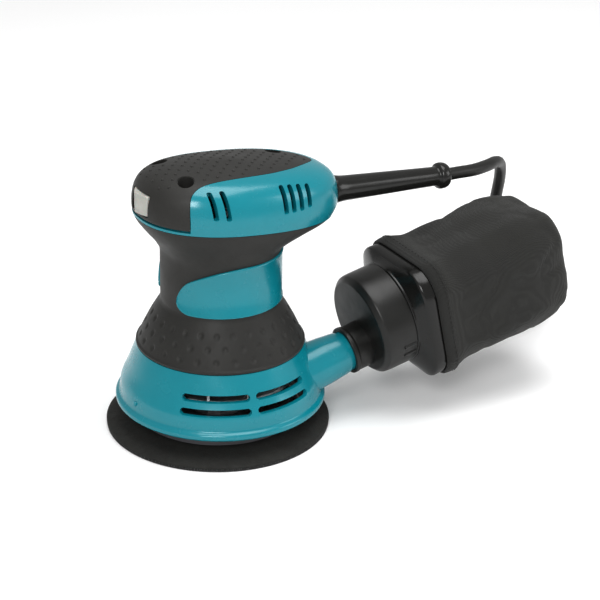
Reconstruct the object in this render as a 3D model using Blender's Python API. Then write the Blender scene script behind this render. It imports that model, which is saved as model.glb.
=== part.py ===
"""Palm-grip random-orbit sander with a mains cord, a dust nozzle and a fabric dust bag.

Frame: origin on the motor axis in the plane of the pad's face, +Z up, +X towards the cord and the dust bag,
-Y towards the side that the dust spout is on. Lengths below are in millimetres and are turned into metres
by the modelling functions.
"""

import math

import bmesh
import bpy
from mathutils import Matrix, Vector

MM = 0.001
GAP = 0.3  # clearance between pieces that touch
RUN = 0.35  # clearance between pieces that turn or slide on each other

# Sanding pad
PAD_RADIUS = 61.5
PAD_RIM = 3.0  # height of the foam's thin edge
HOOK_THICKNESS = 1.5
FOAM_THICKNESS = 5.4
PLATE_RADIUS = 45.5
PLATE_THICKNESS = 3.0
DUST_HOLE_RADIUS = 5.0
DUST_HOLE_CIRCLE = 32.5
DUST_HOLES = 8
PAD_SCREW_CIRCLE = 13.0
PAD_SCREWS = 3
SCREW_RADIUS = 1.6
SCREW_HEAD_RADIUS = 3.1
ORBIT = -1.5  # X of the pad's axis, off the motor's axis

# Lower shroud
RING_RADIUS = 57.5
RING_BOTTOM = 15.5
RING_TOP = 48.5
RING_TOP_RADIUS = 45.8
WALL = 2.5
SLOT_HEIGHT = 3.7
SLOT_ROWS = (34.9, 28.0)
SLOT_SPANS = ((-50.5, -9.0), (-5.0, 33.0))

# Dust spout, nozzle and bag
SPOUT_SIDE = -23.0  # Y of the spout's axis
SPOUT_TILT = 13.0  # degrees above the horizontal
SPOUT_MOUTH = (65.3, SPOUT_SIDE, 36.4)
SPOUT_RADIUS = 11.25
SPOUT_WALL = 1.6
SPOUT_REACH = 26.0  # how far the spout goes into the nozzle
SLEEVE_WALL = 1.5
SLEEVE_LENGTH = 11.4
DISC_RADIUS = 29.0
DISC_THICKNESS = 20.0
DISC_WALL = 2.5
DISC_RISE = 11.0  # the disc's centre above the spout's axis
FRAME_RISE = 8.4  # the bag frame's centre above the spout's axis
FRAME_SIZE = 66.5
FRAME_CORNER = 16.0
FRAME_WALL = 2.0
FRAME_DEPTH = 14.3
BAG_SIZE = 67.0
BAG_LENGTH = 88.0
BAG_CORNER = 19.0

# Neck and grip
NECK_RADIUS = 32.4
NECK_FOOT = 74.2
NECK_TOP = 104.0
RUBBER = 1.8
BARREL_WALL = 2.2
BARREL_TOP = 115.0
BADGE_THICKNESS = 1.0
BADGE_SPANS = (-148.0, 161.0)  # degrees from the rear to its two noses

# Head
COVER_SKIN = 1.8
COVER_WALL = 4.0
PARTING_RISE = 2.2  # the cover's plain edge below the palm grip
COVER_SCREWS = ((-28.0, -16.0, 138.0), (-28.0, 16.0, 138.0), (37.0, 11.0, 135.8))
BOSS_RADIUS = 3.9
BOSS_REACH = 6.8  # how far a boss runs on above its screw's seat, into the cover's wall
GUARD_BASE = (65.8, 0.0, 123.6)
GUARD_DROP = 3.1  # degrees below the horizontal
GUARD_LENGTH = 77.0

# Switch
SWITCH_HEIGHT = 136.6
SWITCH_PIVOT = -44.6
SWITCH_THROW = 10.0  # degrees between off and on
SWITCH_COVER_WIDTH = 17.2
SWITCH_COVER_HEIGHT = 11.0

# Motor
SHAFT_RADIUS = 4.0
STATOR_RADIUS = 27.8
STATOR_BORE = 18.7
STATOR_LOW = 58.5
STATOR_HIGH = 86.5
ARMATURE_RADIUS = 18.2
COMMUTATOR_RADIUS = 9.0
COMMUTATOR_LOW = 97.5
COMMUTATOR_HIGH = 109.5
FAN_RADIUS = 42.0
FAN_LOW = 30.0
FAN_HIGH = 39.5
BRUSH_LENGTH = 12.0
BRUSH_WIDTH = 6.4
SEAT_LOW = 44.1  # underside of the lower bearing
UPPER_SEAT = 115.4

# Cord
CORD_RADIUS = 3.5
COIL_CENTRE = (206.0, 64.0)
COIL_MID_RADIUS = 38.0
COIL_WIDTH = 24.0
COIL_HEIGHT = 21.0
PLUG_CLEAR = 3.0  # from the coil's outer side to the plug's middle, where the cord leaves the coil


# ---------------------------------------------------------------- modelling functions


def material(name, colour, roughness, metallic=0.0):
    made = bpy.data.materials.new(name)
    made.use_nodes = True
    shader = made.node_tree.nodes["Principled BSDF"]
    shader.inputs["Base Color"].default_value = (*colour, 1.0)
    shader.inputs["Roughness"].default_value = roughness
    shader.inputs["Metallic"].default_value = metallic
    made.diffuse_color = (*colour, 1.0)
    return made


def solid(name, points, faces, finish=None, smooth=40.0):
    """An object from points in millimetres, its faces turned outwards."""
    mesh = bpy.data.meshes.new(name)
    mesh.from_pydata([Vector(point) * MM for point in points], [], faces)
    shape = bmesh.new()
    shape.from_mesh(mesh)
    bmesh.ops.remove_doubles(shape, verts=shape.verts, dist=1e-6)
    bmesh.ops.recalc_face_normals(shape, faces=shape.faces)
    shape.to_mesh(mesh)
    shape.free()
    mesh.shade_smooth()
    mesh.set_sharp_from_angle(angle=math.radians(smooth))
    made = bpy.data.objects.new(name, mesh)
    bpy.context.scene.collection.objects.link(made)
    if finish:
        mesh.materials.append(finish)
    else:
        made.hide_render = True
        made.display_type = "WIRE"
    return made


def rings(name, loops, finish=None, closed=False, smooth=40.0):
    """Skins a row of equal loops of points; the row is closed into a tube's ring, or capped at both ends."""
    count = len(loops[0])
    points = [point for loop in loops for point in loop]
    faces = []
    for row in range(len(loops) if closed else len(loops) - 1):
        low = row * count
        high = (row + 1) % len(loops) * count
        for i in range(count):
            j = (i + 1) % count
            faces.append((low + i, low + j, high + j, high + i))
    if not closed:
        faces.append(tuple(range(count)))
        faces.append(tuple(range((len(loops) - 1) * count, len(loops) * count)))
    return solid(name, points, faces, finish, smooth)


def turned(name, outline, finish=None, steps=32, at=(0.0, 0.0, 0.0), smooth=40.0):
    """Turns a closed outline of (radius, height) points about the vertical through `at`."""
    points = []
    starts = []
    for radius, height in outline:
        starts.append(len(points))
        if radius == 0:
            points.append((at[0], at[1], at[2] + height))
            continue
        for i in range(steps):
            angle = 2 * math.pi * i / steps
            x, y = radius * math.cos(angle), radius * math.sin(angle)
            points.append((at[0] + x, at[1] + y, at[2] + height))
    faces = []
    for k, start in enumerate(starts):
        follow = (k + 1) % len(outline)
        if outline[k][0] == 0 and outline[follow][0] == 0:
            continue
        for i in range(steps):
            j = (i + 1) % steps
            low = [start] if outline[k][0] == 0 else [start + i, start + j]
            high = [starts[follow]] if outline[follow][0] == 0 else [starts[follow] + j, starts[follow] + i]
            faces.append(tuple(low + high))
    return solid(name, points, faces, finish, smooth)


def tube(name, outer, inner, low, high, finish=None, steps=24, at=(0.0, 0.0, 0.0)):
    return turned(name, [(inner, low), (outer, low), (outer, high), (inner, high)], finish, steps, at)


def rod(name, radius, low, high, finish=None, steps=16, at=(0.0, 0.0, 0.0)):
    return turned(name, [(0, low), (radius, low), (radius, high), (0, high)], finish, steps, at)


def prism(name, outline, low, high, finish=None, axis="Z"):
    """Extrudes a closed outline along an axis; for Y the outline is in X and Z, for X it is in Y and Z."""
    order = {"X": (2, 0, 1), "Y": (0, 2, 1), "Z": (0, 1, 2)}[axis]
    loops = [[tuple((u, v, level)[k] for k in order) for u, v in outline] for level in (low, high)]
    return rings(name, loops, finish)


def box(name, low, high, finish=None):
    corners = [(low[0], low[1]), (high[0], low[1]), (high[0], high[1]), (low[0], high[1])]
    return prism(name, corners, low[2], high[2], finish)


def put(made, at=(0.0, 0.0, 0.0), turn=None):
    """Moves an object's origin and everything in it to a place, with a turn given as a matrix."""
    made.matrix_world = Matrix.Translation(Vector(at) * MM) @ (turn or Matrix.Identity(4))
    return made


def centre_on(made, pivot):
    """Sets an object's origin on its joint's axis without moving its shape."""
    made.data.transform(Matrix.Translation(-Vector(pivot) * MM))
    made.location = Vector(pivot) * MM
    return made


def boolean(target, cutter, operation="DIFFERENCE"):
    modifier = target.modifiers.new(operation.lower() + "_" + cutter.name, "BOOLEAN")
    modifier.operation = operation
    modifier.solver = "EXACT"
    modifier.object = cutter
    return target


def joined(name, pieces):
    """Joins cutters that stand clear of each other into one cutter."""
    shape = bmesh.new()
    for piece in pieces:
        part = piece.data.copy()
        part.transform(piece.matrix_basis)
        shape.from_mesh(part)
        bpy.data.objects.remove(piece)
    mesh = bpy.data.meshes.new(name)
    shape.to_mesh(mesh)
    shape.free()
    made = bpy.data.objects.new(name, mesh)
    bpy.context.scene.collection.objects.link(made)
    made.hide_render = True
    made.display_type = "WIRE"
    return made


def on_circle(radius, count, start=0.0, centre=(0.0, 0.0)):
    steps = [math.radians(start) + 2 * math.pi * i / count for i in range(count)]
    return [(centre[0] + radius * math.cos(a), centre[1] + radius * math.sin(a)) for a in steps]


def egg(front, rear, half, low, high, blunt=2.3, middle=4.0, count=32):
    """A level or sloping egg-shaped loop from X = front to X = rear; low and high are its heights there."""
    loop = []
    for i in range(count):
        angle = 2 * math.pi * i / count
        c = math.cos(angle)
        s = math.sin(angle)
        reach = (rear - middle) if c > 0 else (middle - front)
        x = middle + reach * math.copysign(abs(c) ** (2 / blunt), c)
        y = half * math.copysign(abs(s) ** (2 / blunt), s)
        z = low + (high - low) * (x - front) / (rear - front)
        loop.append((x, y, z))
    return loop


def rounded_square(size, corner, count=28):
    """Points round a square with round corners, evenly spaced by angle within each corner."""
    half = size / 2 - corner
    loop = []
    per = count // 4
    for quarter, (sx, sy) in enumerate(((1, 1), (-1, 1), (-1, -1), (1, -1))):
        for i in range(per):
            angle = math.pi / 2 * (quarter + i / (per - 1))
            loop.append((sx * half + corner * math.cos(angle), sy * half + corner * math.sin(angle)))
    return loop


def circle_like_square(radius, count=28):
    """A circle with its points at the same angles as rounded_square's corners."""
    loop = []
    per = count // 4
    for quarter in range(4):
        for i in range(per):
            angle = math.pi / 2 * (quarter + (i + 0.35) / (per - 0.3))
            loop.append((radius * math.cos(angle), radius * math.sin(angle)))
    return loop


# ---------------------------------------------------------------- materials

TEAL = material("teal_plastic", (0.008, 0.25, 0.31), 0.35)
DARK = material("dark_plastic", (0.03, 0.03, 0.028), 0.45)
RUBBER_BLACK = material("black_rubber", (0.045, 0.043, 0.038), 0.7)
GREY_RUBBER = material("grey_rubber", (0.4, 0.39, 0.36), 0.55)
FOAM = material("pad_foam", (0.04, 0.04, 0.036), 0.85)
HOOK = material("hook_fabric", (0.05, 0.05, 0.05), 0.95)
FABRIC = material("bag_fabric", (0.045, 0.044, 0.042), 0.9)
STEEL = material("steel", (0.55, 0.55, 0.56), 0.3, 1.0)
ZINC = material("zinc_casting", (0.5, 0.5, 0.52), 0.45, 1.0)
COPPER = material("copper", (0.7, 0.32, 0.15), 0.35, 1.0)
BRASS = material("brass", (0.72, 0.52, 0.22), 0.3, 1.0)
CARBON = material("carbon", (0.05, 0.05, 0.055), 0.6)
NYLON = material("glass_nylon", (0.12, 0.12, 0.13), 0.5)
CORD_BLACK = material("cord_sheath", (0.03, 0.03, 0.03), 0.5)


# ---------------------------------------------------------------- pad and its drive

HOOK_TOP = HOOK_THICKNESS
FOAM_LOW = HOOK_TOP + GAP
FOAM_TOP = FOAM_LOW + FOAM_THICKNESS
PLATE_LOW = FOAM_TOP + GAP
PLATE_TOP = PLATE_LOW + PLATE_THICKNESS
HUB_LOW = PLATE_TOP + GAP
HUB_FLANGE = 3.0
HUB_RADIUS = 18.0
PAD_BEARING = (6.0, 8.2, 11.5, 14.0)  # bore, inner ring, outer ring's bore, outer ring
PAD_BEARING_HEIGHT = 7.0
CUP_LOW = HUB_LOW + HUB_FLANGE + 1.0
PAD_BEARING_LOW = CUP_LOW + 1.0
PAD_BEARING_TOP = PAD_BEARING_LOW + PAD_BEARING_HEIGHT
CUP_WALL = 3.0
CUP_TOP = PAD_BEARING_TOP + 1.0
CRANK_TOP = FAN_LOW - GAP
SHAFT_END = CUP_TOP + 1.0
PAD_CENTRE = (ORBIT, 0.0, 0.0)


def pad_holes(name, screw_radius, low, high):
    """A cutter for the dust holes and the pad screws' holes."""
    pieces = []
    for x, y in on_circle(DUST_HOLE_CIRCLE, DUST_HOLES, 22.5, PAD_CENTRE):
        pieces.append(rod("hole", DUST_HOLE_RADIUS, low, high, None, 8, (x, y, 0)))
    for x, y in on_circle(PAD_SCREW_CIRCLE, PAD_SCREWS, 90.0, PAD_CENTRE):
        pieces.append(rod("hole", screw_radius, low, high, None, 8, (x, y, 0)))
    return joined(name, pieces)


def make_pad():
    hook = rod("hook_face", PAD_RADIUS - 0.3, 0, HOOK_TOP, HOOK, 40, PAD_CENTRE)
    slope = [
        (0, FOAM_LOW),
        (PAD_RADIUS, FOAM_LOW),
        (PAD_RADIUS, PAD_RIM),
        (PAD_RADIUS - 2.5, PAD_RIM + 1.2),
        (PLATE_RADIUS + 3.0, FOAM_TOP - 0.8),
        (PLATE_RADIUS + 0.5, FOAM_TOP),
        (0, FOAM_TOP),
    ]
    foam = turned("foam_pad", slope, FOAM, 40, PAD_CENTRE)
    soft_cut = pad_holes("pad_cut", SCREW_HEAD_RADIUS + 0.4, -1.0, PLATE_LOW - GAP / 2)
    boolean(hook, soft_cut)
    boolean(foam, soft_cut)
    edge = PLATE_RADIUS - 1.0
    disc = [(0, PLATE_LOW), (PLATE_RADIUS, PLATE_LOW), (PLATE_RADIUS, PLATE_TOP - 1)]
    disc += [(edge, PLATE_TOP), (0, PLATE_TOP)]
    plate = turned("backing_plate", disc, NYLON, 32, PAD_CENTRE)
    boolean(plate, pad_holes("plate_cut", SCREW_RADIUS + GAP, PLATE_LOW - 1, PLATE_TOP + 1))
    spindle = PAD_BEARING[0] - GAP
    hub_outline = [
        (0, HUB_LOW),
        (HUB_RADIUS, HUB_LOW),
        (HUB_RADIUS, HUB_LOW + HUB_FLANGE),
        (spindle + 1.2, HUB_LOW + HUB_FLANGE),
        (spindle + 1.2, PAD_BEARING_LOW - GAP),
        (spindle, PAD_BEARING_LOW - GAP),
        (spindle, PAD_BEARING_TOP - 0.2),
        (0, PAD_BEARING_TOP - 0.2),
    ]
    hub = turned("pad_hub", hub_outline, ZINC, 16, PAD_CENTRE)
    pieces = []
    for x, y in on_circle(PAD_SCREW_CIRCLE, PAD_SCREWS, 90.0, PAD_CENTRE):
        hole = rod("hole", SCREW_RADIUS + GAP, HUB_LOW - 1, HUB_LOW + HUB_FLANGE + 1, None, 8, (x, y, 0))
        pieces.append(hole)
    boolean(hub, joined("hub_cut", pieces))
    for i, (x, y) in enumerate(on_circle(PAD_SCREW_CIRCLE, PAD_SCREWS, 90.0, PAD_CENTRE)):
        head = PLATE_LOW - GAP
        outline = [
            (0, head - 2.6),
            (SCREW_HEAD_RADIUS, head - 2.2),
            (SCREW_HEAD_RADIUS, head),
            (SCREW_RADIUS, head),
            (SCREW_RADIUS, HUB_LOW + HUB_FLANGE - GAP),
            (0, HUB_LOW + HUB_FLANGE - GAP),
        ]
        centre_on(turned(f"pad_screw_{i + 1}", outline, STEEL, 8, (x, y, 0)), PAD_CENTRE)
    bore, inner, seat, outer = PAD_BEARING
    low, high = PAD_BEARING_LOW, PAD_BEARING_TOP
    inner_ring = tube("pad_bearing_inner", inner, bore, low, high, STEEL, 16, PAD_CENTRE)
    tube("pad_bearing_outer", outer, seat, low, high, STEEL, 16, PAD_CENTRE)
    for moving in (hook, foam, plate, hub, inner_ring):
        centre_on(moving, PAD_CENTRE)


def make_crank():
    """The casting on the shaft's lower end: an off-axis cup for the pad's bearing, and a counterweight."""
    cup = PAD_BEARING[3] + GAP + CUP_WALL
    crank = rod("eccentric_crank", cup, CUP_LOW, CRANK_TOP, ZINC, 20, PAD_CENTRE)
    reach = 31.0
    plan = [(6.0, -8.0)]
    for i in range(11):
        angle = math.radians(-70 + 14 * i)
        plan.append((reach * math.cos(angle), reach * math.sin(angle)))
    weight = prism("counterweight", plan + [(6.0, 8.0)], CUP_LOW + 6.5, CRANK_TOP - 2.0)
    boolean(crank, weight, "UNION")
    boolean(crank, rod("cup_cut", PAD_BEARING[3] + GAP, CUP_LOW - 1, CUP_TOP, None, 16, PAD_CENTRE))
    boolean(crank, rod("crank_bore", SHAFT_RADIUS + GAP, CUP_TOP + 0.7, CRANK_TOP + 1, None, 12))


# ---------------------------------------------------------------- motor

LOWER_BEARING = (6.0, 8.4, 11.6, 14.0)
LOWER_BEARING_HEIGHT = 8.0
UPPER_BEARING = (3.5, 5.2, 7.7, 9.5)
UPPER_BEARING_HEIGHT = 6.0
BARREL_RADIUS = NECK_RADIUS - RUBBER - GAP
BARREL_BORE = BARREL_RADIUS - BARREL_WALL


def make_rotor():
    seat_top = SEAT_LOW + LOWER_BEARING_HEIGHT
    thick = LOWER_BEARING[0] - GAP
    thin = UPPER_BEARING[0] - GAP
    top = UPPER_SEAT + UPPER_BEARING_HEIGHT
    shaft = [
        (0, SHAFT_END),
        (SHAFT_RADIUS, SHAFT_END),
        (SHAFT_RADIUS, FAN_HIGH + 1.5),
        (thick, FAN_HIGH + 1.5),
        (thick, seat_top + 0.8),
        (SHAFT_RADIUS, seat_top + 0.8),
        (SHAFT_RADIUS, UPPER_SEAT - 1.5),
        (thin, UPPER_SEAT - 1.5),
        (thin, top),
        (0, top),
    ]
    turned("motor_shaft", shaft, STEEL, 12)
    bore = SHAFT_RADIUS + GAP
    outline = []
    teeth = 12
    for i in range(teeth):
        for turn, radius in ((-11, ARMATURE_RADIUS), (11, ARMATURE_RADIUS), (11.5, 12.5), (18.5, 12.5)):
            angle = math.radians(360 / teeth * i + turn)
            outline.append((radius * math.cos(angle), radius * math.sin(angle)))
    core = prism("armature_core", outline, STATOR_LOW, STATOR_HIGH, STEEL)
    boolean(core, rod("core_bore", bore, STATOR_LOW - 1, STATOR_HIGH + 1, None, 12))
    for name, side in (("armature_winding_upper", 1), ("armature_winding_lower", -1)):
        foot = STATOR_HIGH + GAP if side > 0 else STATOR_LOW - GAP
        dome = [(7.0, 0), (16.8, 0), (16.2, 3.0), (12.5, 5.0), (8.5, 5.4)]
        turned(name, [(r, foot + side * z) for r, z in dome], COPPER, 16)
    tube("commutator", COMMUTATOR_RADIUS, bore, COMMUTATOR_LOW, COMMUTATOR_HIGH, COPPER, 16)
    make_fan(bore)
    tube("upper_bearing_inner", UPPER_BEARING[1], UPPER_BEARING[0], UPPER_SEAT, top, STEEL, 16)
    tube("lower_bearing_inner", LOWER_BEARING[1], LOWER_BEARING[0], SEAT_LOW, seat_top, STEEL, 16)


def make_fan(bore):
    """A hub and a disc with leaning blades on its upper face, in one aluminium piece."""
    floor = FAN_LOW + 1.6
    outline = [(bore, FAN_LOW), (FAN_RADIUS, FAN_LOW), (FAN_RADIUS, floor)]
    outline += [(9.5, floor), (8.5, FAN_HIGH), (bore, FAN_HIGH)]
    fan = turned("cooling_fan", outline, ZINC, 28)
    blades = []
    count = 12
    for i in range(count):
        angle = 2 * math.pi * i / count
        lean = angle + math.radians(24)
        inner = Vector((16.0 * math.cos(angle), 16.0 * math.sin(angle)))
        outer = Vector(((FAN_RADIUS - 1) * math.cos(lean), (FAN_RADIUS - 1) * math.sin(lean)))
        side = (outer - inner).orthogonal().normalized() * 0.7
        corners = [inner - side, outer - side, outer + side, inner + side]
        blades.append(prism("blade", [tuple(c) for c in corners], floor - 0.8, FAN_HIGH))
    boolean(fan, joined("fan_blades", blades), "UNION")


def make_stator():
    yoke = STATOR_RADIUS - 4.3
    stator = tube("stator_core", STATOR_RADIUS, yoke, STATOR_LOW, STATOR_HIGH, STEEL, 24)
    poles = []
    half = 8.0
    for side in (-1, 1):
        root = yoke + 1.5
        face = [(half * (1 - i / 3), math.sqrt(STATOR_BORE**2 - (half * (1 - i / 3)) ** 2)) for i in range(7)]
        outline = [(-half, root), (half, root)] + face
        poles.append(prism("pole", [(x, side * y) for x, y in outline], STATOR_LOW, STATOR_HIGH))
    boolean(stator, joined("poles", poles), "UNION")
    inside = half + GAP + 0.1
    outside = inside + 3.0
    for i, side in enumerate((-1, 1)):
        low = 17.6
        high = low + 2.4
        ends = (STATOR_LOW - 4.5, STATOR_LOW - GAP, STATOR_HIGH + GAP, STATOR_HIGH + 4.5)
        loops = []
        for width, bottom, top, corner in ((outside, ends[0], ends[3], 2.0), (inside, ends[1], ends[2], 0.1)):
            frame = [(-width + corner, bottom), (width - corner, bottom), (width, bottom + corner)]
            frame += [(width, top - corner), (width - corner, top), (-width + corner, top)]
            frame += [(-width, top - corner), (-width, bottom + corner)]
            loops.append(frame)
        outer = [[(x, side * y, z) for x, z in loops[0]] for y in (low, high)]
        inner = [[(x, side * y, z) for x, z in loops[1]] for y in (high, low)]
        rings(f"field_coil_{i + 1}", outer + inner, COPPER, closed=True)


def make_brushes():
    """Each carbon brush slides in its holder and is pressed on the commutator by a coil spring."""
    middle = (COMMUTATOR_LOW + COMMUTATOR_HIGH) / 2
    half = BRUSH_WIDTH / 2
    inner = half + 0.3
    outer = inner + 1.4
    start = COMMUTATOR_RADIUS + GAP
    mouth = start + 2.5
    back = math.sqrt((BARREL_BORE - 2 * GAP) ** 2 - outer**2)
    channel = back - 1.2
    end = start + BRUSH_LENGTH
    for i, side in enumerate((-1, 1)):
        holder = y_bar(f"brush_holder_{i + 1}", outer, side, (mouth, back), middle, BRASS)
        boolean(holder, y_bar(f"holder_cut_{i + 1}", inner, side, (mouth - 1, channel), middle))
        y_bar(f"carbon_brush_{i + 1}", half, side, (start, end), middle, CARBON)
        make_spring(f"brush_spring_{i + 1}", side, end + GAP, channel - GAP, middle)


def y_bar(name, half, side, span, height, finish=None):
    """A square bar along Y between two distances from the motor's axis, on one side of it."""
    low, high = sorted((side * span[0], side * span[1]))
    return box(name, (-half, low, height - half), (half, high, height + half), finish)


def make_spring(name, side, near, far, height):
    """A coil spring along Y between two distances from the motor's axis."""
    wire = 0.35
    radius = 2.2
    turns = 4
    steps = 8 * turns
    loops = []
    for i in range(steps + 1):
        angle = 2 * math.pi * turns * i / steps
        along = near + wire + (far - near - 2 * wire) * i / steps
        loop = []
        for k in range(4):
            around = 2 * math.pi * k / 4
            r = radius + wire * math.cos(around)
            y = side * (along + wire * math.sin(around))
            loop.append((r * math.cos(angle), y, height + r * math.sin(angle)))
        loops.append(loop)
    rings(name, loops, STEEL)


def make_bearing_seats():
    """The plate that closes the motor from below, and the outer rings of the two motor bearings."""
    seat_top = SEAT_LOW + LOWER_BEARING_HEIGHT
    seat = LOWER_BEARING[3] + GAP
    outline = [
        (LOWER_BEARING[2] - 2.0, SEAT_LOW - 1.6),
        (PLATE_REACH, SEAT_LOW - 1.6),
        (PLATE_REACH, PLATE_FACE),
        (seat + 3.0, PLATE_FACE),
        (seat + 2.4, seat_top + 0.4),
        (seat, seat_top + 0.4),
        (seat, SEAT_LOW - GAP),
        (LOWER_BEARING[2] - 2.0, SEAT_LOW - GAP),
    ]
    plate = turned("bearing_plate", outline, NYLON, 28)
    boolean(plate, shroud_screw_holes("plate_screw_cut", SCREW_RADIUS + GAP - 0.1))
    tube("lower_bearing_outer", LOWER_BEARING[3], LOWER_BEARING[2], SEAT_LOW, seat_top, STEEL, 16)
    top = UPPER_SEAT + UPPER_BEARING_HEIGHT
    tube("upper_bearing_outer", UPPER_BEARING[3], UPPER_BEARING[2], UPPER_SEAT, top, STEEL, 16)


# ---------------------------------------------------------------- shroud

PLATE_FACE = SEAT_LOW + 1.2
PLATE_REACH = 43.2
FLANGE_LOW = PLATE_FACE + GAP
SHROUD_SCREW_CIRCLE = 40.2
SHROUD_SCREWS = 3
SHROUD_SCREW_START = 150.0
TILT = math.radians(SPOUT_TILT)
ALONG = Vector((math.cos(TILT), 0.0, math.sin(TILT)))
ACROSS = Vector((-math.sin(TILT), 0.0, math.cos(TILT)))
NOZZLE_TURN = Matrix.Rotation(math.pi / 2 - TILT, 4, "Y")


def shroud_screw_holes(name, radius):
    pieces = []
    for x, y in on_circle(SHROUD_SCREW_CIRCLE, SHROUD_SCREWS, SHROUD_SCREW_START):
        pieces.append(rod("hole", radius, SEAT_LOW - 4, RING_TOP + 3.6, None, 8, (x, y, 0)))
    return joined(name, pieces)


def slot_cutter(name, bottom, start, end):
    """A curved bar through the ring's wall between two bearings from -Y towards +X, in degrees."""
    steps = max(3, round((end - start) / 6))
    loops = []
    for i in range(steps + 1):
        angle = math.radians(start + (end - start) * i / steps)
        loop = []
        for r, z in ((40.0, 0), (62.0, 0), (62.0, SLOT_HEIGHT), (40.0, SLOT_HEIGHT)):
            loop.append((r * math.sin(angle), -r * math.cos(angle), bottom + z))
        loops.append(loop)
    return rings(name, loops)


def ring_outline(inset):
    """The ring's side from its lip to its top, moved in by an inset."""
    steps = ((0.0, 3.2), (2.2, 4.6), (2.7, 10.0), (3.4, 13.0), (6.3, 19.0), (8.6, 25.0))
    return [(RING_RADIUS - inset - back, RING_BOTTOM + rise) for back, rise in steps]


def make_shroud():
    top_bore = 37.0
    body = [(0, RING_BOTTOM), (RING_RADIUS - 0.8, RING_BOTTOM), (RING_RADIUS, RING_BOTTOM + 0.8)]
    body += ring_outline(0) + [(RING_TOP_RADIUS, RING_TOP), (0, RING_TOP)]
    shroud = turned("shroud", body, TEAL, 44)
    root = -32.0
    reach = SPOUT_REACH
    swell = [(0, root), (SPOUT_RADIUS + 2.6, root), (SPOUT_RADIUS + 1.4, -13.0), (SPOUT_RADIUS + 0.6, -3.0)]
    swell += [(SPOUT_RADIUS, -1.0), (SPOUT_RADIUS, reach), (0, reach)]
    boolean(shroud, put(turned("spout", swell, None, 20), SPOUT_MOUTH, NOZZLE_TURN), "UNION")
    inside = [(0, RING_BOTTOM - 1.0), (RING_RADIUS - WALL, RING_BOTTOM - 1.0)]
    inside += ring_outline(WALL)[2:] + [(PLATE_REACH + GAP, SEAT_LOW - 1.0), (PLATE_REACH + GAP, FLANGE_LOW)]
    inside += [(top_bore, FLANGE_LOW), (top_bore, RING_TOP + 1.0), (0, RING_TOP + 1.0)]
    boolean(shroud, turned("ring_cavity", inside, None, 44))
    bore = rod("spout_bore", SPOUT_RADIUS - SPOUT_WALL, root + 2.0, reach + 1.0, None, 20)
    boolean(shroud, put(bore, SPOUT_MOUTH, NOZZLE_TURN))
    slots = []
    for bottom in SLOT_ROWS:
        for start, end in SLOT_SPANS:
            slots.append(slot_cutter("slot", bottom, start, end))
            slots.append(slot_cutter("slot", bottom, 180 - end, 180 - start))
    boolean(shroud, joined("ring_slots", slots))
    boolean(shroud, shroud_screw_holes("shroud_screw_cut", SCREW_RADIUS + GAP - 0.1))
    for i, (x, y) in enumerate(on_circle(SHROUD_SCREW_CIRCLE, SHROUD_SCREWS, SHROUD_SCREW_START)):
        head = SEAT_LOW - 1.6 - GAP
        outline = [(0, head - 1.8), (2.8, head - 1.5), (2.8, head), (SCREW_RADIUS - 0.1, head)]
        outline += [(SCREW_RADIUS - 0.1, RING_TOP + 3.0), (0, RING_TOP + 3.0)]
        turned(f"shroud_screw_{i + 1}", outline, STEEL, 8, (x, y, 0))
    lip = RING_RADIUS - WALL - GAP
    skirt = [(lip - 9.0, RING_BOTTOM - 3.5), (lip - 7.5, RING_BOTTOM - 3.5)]
    skirt += [(lip - 3.5, RING_BOTTOM + 0.4), (lip - 0.6, RING_BOTTOM + 0.4)]
    skirt += [(lip - 1.1, RING_BOTTOM + 2.4), (lip - 6.0, RING_BOTTOM + 2.4)]
    turned("brake_ring", skirt, RUBBER_BLACK, 32)


# ---------------------------------------------------------------- motor housing, grip sleeve and badge


def cone_radius(height, inset):
    """Radius of the grip's outer surface at a height, less an inset."""
    share = min(max((height - RING_TOP) / (NECK_FOOT - RING_TOP), 0.0), 1.0)
    return RING_TOP_RADIUS + (NECK_RADIUS - RING_TOP_RADIUS) * share + 3.6 * share * (1 - share) - inset


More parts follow.
